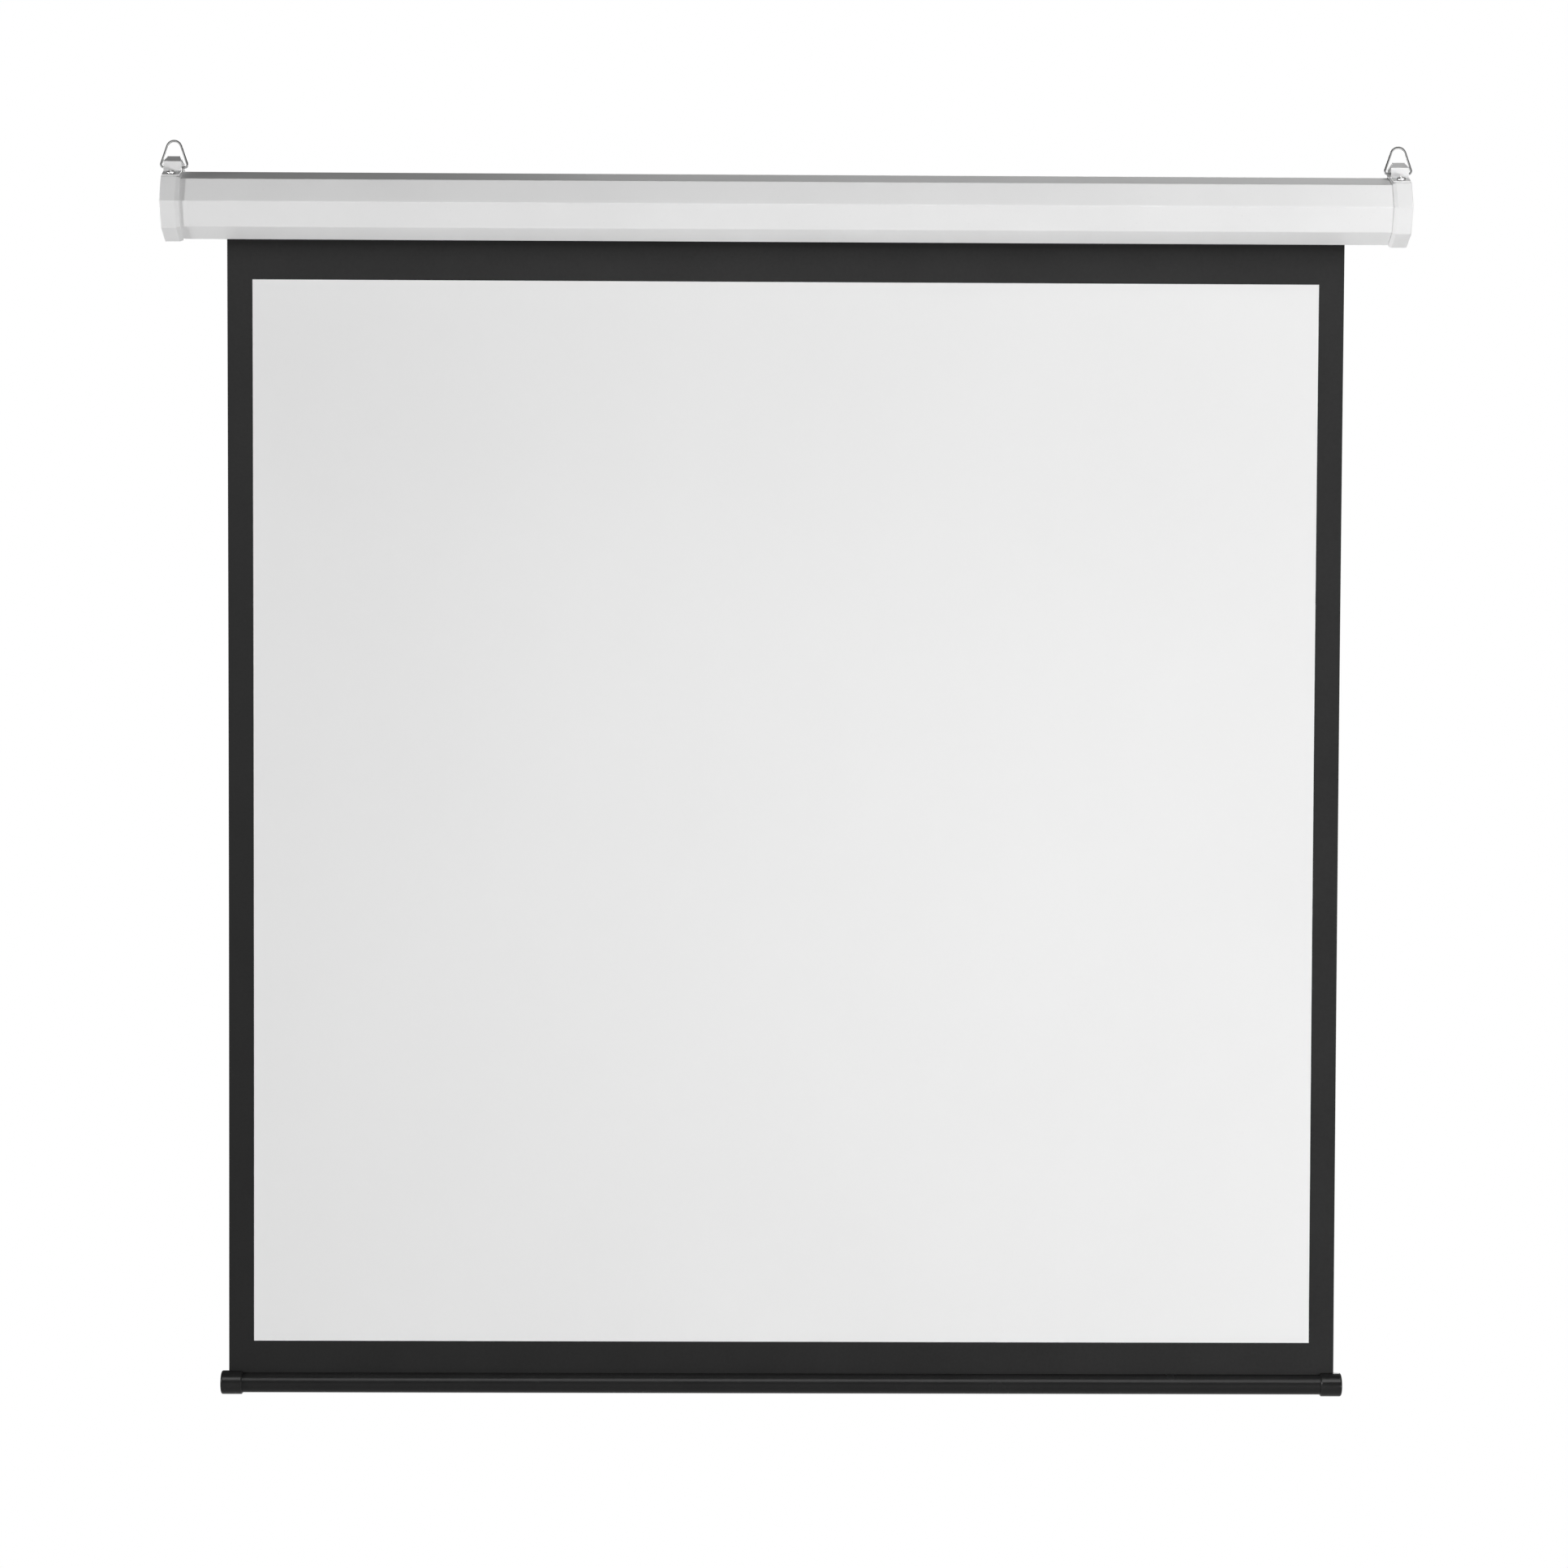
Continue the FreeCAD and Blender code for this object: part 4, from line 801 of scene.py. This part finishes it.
def lathed(name, profile, sides):
    """Closed shape turned about Z from (radius, height) points that start and end on the axis."""
    form = bmesh.new()
    rings = []
    for radius, height in profile[1:-1]:
        ring = []
        for k in range(sides):
            turn = 2 * math.pi * k / sides
            ring.append(form.verts.new((radius * math.cos(turn), radius * math.sin(turn), height)))
        rings.append(ring)
    for first, second in zip(rings, rings[1:]):
        for k in range(sides):
            after = (k + 1) % sides
            form.faces.new((first[k], first[after], second[after], second[k]))
    for ring, (_, height) in ((rings[0], profile[0]), (rings[-1], profile[-1])):
        tip = form.verts.new((0, 0, height))
        for k in range(sides):
            form.faces.new((ring[k], ring[(k + 1) % sides], tip))
    bmesh.ops.recalc_face_normals(form, faces=form.faces)
    return mesh_of(form, name)


def cross_cutter(name, head_radius, top, depth):
    """Tapered cross that is cut into a screw head."""
    form = bmesh.new()
    reach = head_radius * RECESS_SHARE
    half = head_radius * RECESS_WIDTH_SHARE
    arm = [(reach, -half), (reach, half), (half, half)]
    outline = []
    for _ in range(4):
        outline += arm
        arm = [(-y, x) for x, y in arm]
    upper = [form.verts.new((x, y, top + depth)) for x, y in outline]
    lower = [form.verts.new((x * RECESS_TAPER, y * RECESS_TAPER, top - depth)) for x, y in outline]
    form.faces.new(upper)
    form.faces.new(lower)
    for k in range(len(outline)):
        after = (k + 1) % len(outline)
        form.faces.new((upper[k], upper[after], lower[after], lower[k]))
    bmesh.ops.recalc_face_normals(form, faces=form.faces)
    return mesh_of(form, name)


def pan_head_screw(name, head, head_height, shank, length):
    """Pan-head screw along Z with its seat at the origin and a cross recess."""
    round_reach = head_height * HEAD_ROUND_SHARE
    profile = [(0.0, head_height)]
    for k in range(HEAD_ROUND_STEPS + 1):
        turn = math.pi / 2 * (1 - k / HEAD_ROUND_STEPS)
        profile.append((head / 2 - round_reach * (1 - math.cos(turn)),
                        head_height - round_reach * (1 - math.sin(turn))))
    profile += [(head / 2, 0.0), (shank / 2, 0.0), (shank / 2, -length), (0.0, -length)]
    screw = link(name, lathed(name, profile, HEAD_SIDES))
    cutter = link(name + "_cross", cross_cutter(
        name + "_cross", head / 2, head_height, head_height * RECESS_DEPTH_SHARE))
    cut = screw.modifiers.new("cross", "BOOLEAN")
    cut.object = cutter
    settled(screw)
    bpy.data.objects.remove(cutter)
    return screw


def screw_set(name, node, places, screw, seed, tree):
    """Screws of one kind at their places, each with its cross turned at random."""
    mesh = bpy.data.meshes.new(name + "_places")
    mesh.from_pydata([place for place, _ in places], [], [])
    axes = mesh.attributes.new("axis", "FLOAT_VECTOR", "POINT")
    axes.data.foreach_set("vector", [value for _, axis in places for value in axis])
    made = grown(name, mesh, tree, {
        "Screw": screw, "Twist": SCREW_TWIST, "Seed": seed, "Finish": FINISHES["plated_screw"]})
    bpy.data.objects.remove(screw)
    flat_facets(made)
    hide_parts(node)
    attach(made, "case")


def case_screws():
    """Screws through the strap feet and in the end caps."""
    tree = make_screw_set()
    cap_low, cap_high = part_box("end_cap_right")
    cap_reach = (cap_high.z - cap_low.z) / 2
    foot = (cap_reach - CAP_CORNER) * math.cos(HALF_FACET) + CAP_CORNER + STRAP_THICKNESS
    strap_places = []
    for node in ("hanger_strap_left", "hanger_strap_right"):
        x = middle(*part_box(node)).x
        for side in (-1, 1):
            out = Vector((0.0, side * math.sin(HALF_FACET), math.cos(HALF_FACET)))
            down = Vector((0.0, side * math.cos(HALF_FACET), -math.sin(HALF_FACET)))
            place = Vector((x, 0.0, case_axis.z)) + out * foot + down * STRAP_SCREW_OFFSET
            strap_places.append((place, out))
    strap_screw = pan_head_screw(
        "strap_screw", STRAP_SCREW_HEAD, STRAP_SCREW_HEAD_HEIGHT, STRAP_SCREW_SHANK, STRAP_SCREW_LENGTH)
    screw_set("strap_screw_set", "strap_screws", strap_places, strap_screw, STRAP_SCREW_SEED, tree)
    cap_places = []
    for side in (-1, 1):
        for height in (CAP_SCREW_OFFSET, -CAP_SCREW_OFFSET):
            place = Vector((side * cap_high.x, 0.0, case_axis.z + height))
            cap_places.append((place, Vector((side, 0, 0))))
    cap_screw = pan_head_screw(
        "cap_screw", CAP_SCREW_HEAD, CAP_SCREW_HEAD_HEIGHT, CAP_SCREW_SHANK, CAP_SCREW_LENGTH)
    screw_set("cap_screw_set", "cap_screws", cap_places, cap_screw, CAP_SCREW_SEED, tree)


# Fabric

sheet_height = fabric_high.z - fabric_low.z
sheet_half = (fabric_high.x - fabric_low.x) / 2


def hang_at(x, z):
    """Sideways pull and forward ripple of the hanging fabric at a place on the flat sheet."""
    share = (z - fabric_low.z) / sheet_height
    slack = min(1.0, share / STILL_LOW) * min(1.0, (1.0 - share) / STILL_HIGH)
    slack = slack * slack * (3 - 2 * slack)
    waist = 4 * share * (1 - share)
    across = x / sheet_half
    wave = math.sin(RIPPLE_COUNT * math.pi * across + RIPPLE_START)
    wave *= RIPPLE_MIDDLE_SHARE + (1 - RIPPLE_MIDDLE_SHARE) * across * across
    return -EDGE_BOW * waist * across, RIPPLE * slack * wave


def hung_layer(name, low, high, front, rear, finish):
    """Thin closed layer of the fabric between two depths."""
    form = bmesh.new()
    faces = {}
    for depth in (front, rear):
        for row in range(SHEET_ROWS + 1):
            for column in range(SHEET_COLUMNS + 1):
                x = low.x + (high.x - low.x) * column / SHEET_COLUMNS
                z = low.z + (high.z - low.z) * row / SHEET_ROWS
                pull, ripple = hang_at(x, z)
                faces[depth, row, column] = form.verts.new((x + pull, depth + ripple, z))
    for row in range(SHEET_ROWS):
        for column in range(SHEET_COLUMNS):
            corners = [(row, column), (row, column + 1), (row + 1, column + 1), (row + 1, column)]
            form.faces.new([faces[(front, *corner)] for corner in corners])
            form.faces.new([faces[(rear, *corner)] for corner in reversed(corners)])
    rim = [(0, column) for column in range(SHEET_COLUMNS)]
    rim += [(row, SHEET_COLUMNS) for row in range(SHEET_ROWS)]
    rim += [(SHEET_ROWS, column) for column in range(SHEET_COLUMNS, 0, -1)]
    rim += [(row, 0) for row in range(SHEET_ROWS, 0, -1)]
    for first, second in zip(rim, rim[1:] + rim[:1]):
        form.faces.new((
            faces[(front, *second)], faces[(front, *first)], faces[(rear, *first)], faces[(rear, *second)]))
    bmesh.ops.recalc_face_normals(form, faces=form.faces)
    soften(form)
    mesh = mesh_of(form, name)
    mesh.materials.append(finish)
    return link(name, mesh)


def hanging_screen():
    """Black sheet with its border, and the white viewing coat on its front."""
    sheet = hung_layer(
        "screen_sheet", fabric_low, fabric_high, fabric_low.y, fabric_high.y, FINISHES["screen_black"])
    face = hung_layer(
        "screen_face", image_low, image_high, image_low.y, fabric_low.y, FINISHES["screen_white"])
    layers = ((sheet, "fabric_backing", "screen_black"), (face, "viewing_surface", "screen_white"))
    for piece, node, slot in layers:
        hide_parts(node)
        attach(piece, "case")
        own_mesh(piece)


def wound_fabric():
    """Turns of fabric that stay on the roller."""
    low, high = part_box("fabric_turns")
    outer = (high.z - low.z) / 2 - WOUND_ROOM
    roller_low, roller_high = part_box("roller_tube")
    inner = (roller_high.z - roller_low.z) / 2
    layer = (outer - inner) / WOUND_TURNS
    turns = grown("wound_turns", bpy.data.meshes.new("wound_turns_base"), make_wound_fabric(), {
        "Turns": float(WOUND_TURNS), "Steps": WOUND_STEPS, "Inner Radius": inner + WOUND_GAP_SHARE * layer,
        "Outer Radius": outer, "Length": high.x - low.x, "Thickness": (1 - WOUND_GAP_SHARE) * layer,
        "Finish": FINISHES["screen_black"]})
    place = middle(low, high)
    turns.data.transform(Matrix.Translation((low.x, place.y, place.z)))
    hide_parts("fabric_turns")
    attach(turns, "roller")


def hem_fold():
    """Loop at the fabric's lower edge, sewn round the rod inside the bar."""
    low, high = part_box("hem_loop")
    rod_low, rod_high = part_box("hem_rod")
    place = middle(low, high)
    inner = (rod_high.z - rod_low.z) / 2
    outer = (high.z - low.z) / 2
    outline = []
    for radius, direction in ((outer, 1), (inner, -1)):
        for k in range(HEM_STEPS + 1):
            sweep = HEM_OPENING + 2 * (math.pi - HEM_OPENING) * k / HEM_STEPS
            turn = math.pi / 2 + direction * sweep
            outline.append((place.y + radius * math.cos(turn), place.z + radius * math.sin(turn)))
    form = bmesh.new()
    ends = [[form.verts.new((x, y, z)) for y, z in outline] for x in (low.x, high.x)]
    count = len(outline)
    for k in range(count):
        after = (k + 1) % count
        form.faces.new((ends[0][k], ends[0][after], ends[1][after], ends[1][k]))
    half = count // 2
    for end in ends:
        for k in range(half - 1):
            form.faces.new((end[k], end[k + 1], end[count - 2 - k], end[count - 1 - k]))
    bmesh.ops.recalc_face_normals(form, faces=form.faces)
    soften(form)
    mesh = mesh_of(form, "hem_fold")
    mesh.materials.append(FINISHES["screen_black"])
    hem = link("hem_fold", mesh)
    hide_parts("hem_loop")
    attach(hem, "bottom_bar")


# Stage, camera and light

def background_rays(tree):
    """Masks of the rays that come from the camera, and of those that come by way of metal or glass."""
    path = add(tree, "ShaderNodeLightPath").outputs
    return path["Is Camera Ray"], math_node(
        tree, "MAXIMUM", path["Is Glossy Ray"], path["Is Transmission Ray"])


def studio_world():
    """White to the camera and in reflections, with a dim ceiling that lights and reflects little."""
    scene = bpy.context.scene
    scene.world = bpy.data.worlds.new("studio")
    scene.world.use_nodes = True
    tree = scene.world.node_tree
    tree.nodes.clear()
    heading = add(tree, "ShaderNodeTexCoord").outputs["Generated"]
    height = add(tree, "ShaderNodeSeparateXYZ", None, {0: heading}).outputs["Z"]
    place = math_node(tree, "MULTIPLY_ADD", height, 0.5, 0.5)
    ramp = add(tree, "ShaderNodeValToRGB", None, {0: place})
    stops = ramp.color_ramp.elements
    stops[0].position, stops[0].color = STUDIO_LEVELS[0][0], grey(STUDIO_LEVELS[0][1])
    stops[1].position, stops[1].color = STUDIO_LEVELS[-1][0], grey(STUDIO_LEVELS[-1][1])
    for position, level in STUDIO_LEVELS[1:-1]:
        stops.new(position).color = grey(level)
    ambient = add(tree, "ShaderNodeBackground", None, {"Color": ramp.outputs[0], "Strength": 1.0})
    white = add(tree, "ShaderNodeBackground", None, {"Color": grey(1.0), "Strength": 1.0})
    direct, mirrored = background_rays(tree)
    backdrop = add(tree, "ShaderNodeMapRange", None, {
        "Value": height, "From Min": 0.0, "From Max": CEILING_FROM, "To Min": 1.0, "To Max": CEILING_SHARE})
    share = math_node(tree, "MAXIMUM", direct, math_node(tree, "MULTIPLY", mirrored, backdrop.outputs[0]))
    seen = add(tree, "ShaderNodeMixShader", None, {0: share, 1: ambient.outputs[0], 2: white.outputs[0]})
    add(tree, "ShaderNodeOutputWorld", None, {"Surface": seen.outputs[0]})


def floor():
    """Pale round floor with a soft shadow that fades into the background and is clear from below."""
    form = bmesh.new()
    bmesh.ops.create_circle(form, cap_ends=True, segments=FLOOR_SIDES, radius=FLOOR_RADIUS)
    mesh = mesh_of(form, "floor")
    mesh.transform(Matrix.Translation((0.0, 0.0, cad_low.z - FLOOR_BELOW)))
    material = bpy.data.materials.new("floor")
    material.use_nodes = True
    tree = material.node_tree
    tree.nodes.clear()
    matt = add(tree, "ShaderNodeBsdfDiffuse", None, {"Color": grey(FLOOR_TONE)})
    white = add(tree, "ShaderNodeEmission", None, {"Color": grey(1.0), "Strength": 1.0})
    place = add(tree, "ShaderNodeVectorMath", {"operation": "MULTIPLY"}, {
        0: add(tree, "ShaderNodeTexCoord").outputs["Object"], 1: (1.0, 1.0, 0.0)})
    reach = add(tree, "ShaderNodeVectorMath", {"operation": "LENGTH"}, {0: place.outputs[0]})
    pale = add(tree, "ShaderNodeMapRange", {"interpolation_type": "SMOOTHSTEP"}, {
        "Value": reach.outputs["Value"], "From Min": FLOOR_PALE_FROM, "From Max": FLOOR_RADIUS,
        "To Min": FLOOR_OWN_LIGHT, "To Max": 1.0})
    share = math_node(
        tree, "MULTIPLY", math_node(tree, "MAXIMUM", *background_rays(tree)), pale.outputs[0])
    seen = add(tree, "ShaderNodeMixShader", None, {0: share, 1: matt.outputs[0], 2: white.outputs[0]})
    clear = add(tree, "ShaderNodeBsdfTransparent")
    below = add(tree, "ShaderNodeNewGeometry").outputs["Backfacing"]
    one_sided = add(tree, "ShaderNodeMixShader", None, {0: below, 1: seen.outputs[0], 2: clear.outputs[0]})
    add(tree, "ShaderNodeOutputMaterial", None, {"Surface": one_sided.outputs[0]})
    mesh.materials.append(material)
    link("floor", mesh)


def soft_lamp(name, place, aim, size, power):
    """Rectangular lamp that the camera does not see."""
    light = bpy.data.lights.new(name, "AREA")
    light.shape = "RECTANGLE"
    light.size, light.size_y = size
    light.energy = power
    lamp = bpy.data.objects.new(name, light)
    lamp.location = place
    lamp.rotation_euler = (Vector(aim) - Vector(place)).to_track_quat("-Z", "Y").to_euler()
    lamp.visible_camera = False
    bpy.context.scene.collection.objects.link(lamp)
    return lamp


def studio_lamps():
    """Soft light from the front, right and rear, a raking lamp at the left and a card for the gloss.

    Returns the lamps that shine on the front.
    """
    centre = middle(image_low, image_high)
    front = soft_lamp(
        "front_fill", place=(0.1, -1.3, -0.7), aim=(0.1, 0.0, -0.7), size=(0.8, 0.8), power=3.3)
    front.visible_glossy = False
    upper = soft_lamp(
        "upper_right", place=(1.7, -1.1, 1.35), aim=centre + Vector((0.5, 0.0, 0.7)), size=(0.8, 0.6),
        power=17.3)
    low = soft_lamp(
        "low_right", place=(2.4, -3.0, -1.9), aim=centre + Vector((0.2, 0.0, 0.6)), size=(1.0, 0.8),
        power=81.0)
    raking = soft_lamp(
        "raking_left", place=(-4.8, -1.3, -0.4), aim=centre + Vector((0.0, 0.0, 0.5)), size=(0.12, 0.35),
        power=165.0)
    soft_lamp(
        "rear_upper", place=(0.85, 2.4, 1.9), aim=centre + Vector((0.2, 0.0, 0.7)), size=(2.7, 1.0),
        power=9.3)
    soft_lamp("rear", place=(0.5, 4.0, 0.3), aim=centre, size=(2.4, 1.6), power=80.0)
    card = soft_lamp(
        "gloss_card", place=(0.3, -2.9, 1.6), aim=centre + Vector((0.0, 0.0, -0.65)), size=(4.2, 1.8),
        power=165.0)
    card.visible_diffuse = False
    return front, upper, low, raking, card


def keep_glints_off(pieces, lamps):
    """Let pieces show the studio alone, as flags in front of the lamps do."""
    flagged = bpy.data.collections.new("flagged")
    for piece in pieces:
        flagged.objects.link(piece)
    for entry in flagged.collection_objects:
        entry.light_linking.link_state = "EXCLUDE"
    for lamp in lamps:
        lamp.light_linking.receiver_collection = flagged


def camera():
    """Camera at the photograph's viewing angle, with no shift."""
    data = bpy.data.cameras.new("camera")
    data.sensor_width = SENSOR_WIDTH
    data.lens = FOCAL_LENGTH
    body = bpy.data.objects.new("camera", data)
    centre = middle(image_low, image_high)
    target = Vector((centre.x, image_low.y, centre.z))
    ahead = Vector((
        math.sin(CAMERA_YAW) * math.cos(CAMERA_PITCH), math.cos(CAMERA_YAW) * math.cos(CAMERA_PITCH),
        math.sin(CAMERA_PITCH)))
    level = Vector((math.cos(CAMERA_YAW), -math.sin(CAMERA_YAW), 0.0))
    upright = level.cross(ahead)
    right = level * math.cos(CAMERA_ROLL) + upright * math.sin(CAMERA_ROLL)
    up = upright * math.cos(CAMERA_ROLL) - level * math.sin(CAMERA_ROLL)
    turn = Matrix((right, up, -ahead)).transposed().to_4x4()
    body.matrix_world = Matrix.Translation(target + CAMERA_OFFSET) @ turn
    bpy.context.scene.collection.objects.link(body)
    bpy.context.scene.camera = body


dress_nodes()
folded_case()
hanger_straps()
rings = hang_rings()
case_screws()
hanging_screen()
wound_fabric()
hem_fold()
studio_world()
floor()
keep_glints_off(rings, studio_lamps())
camera()
bpy.context.scene.view_settings.view_transform = "Standard"
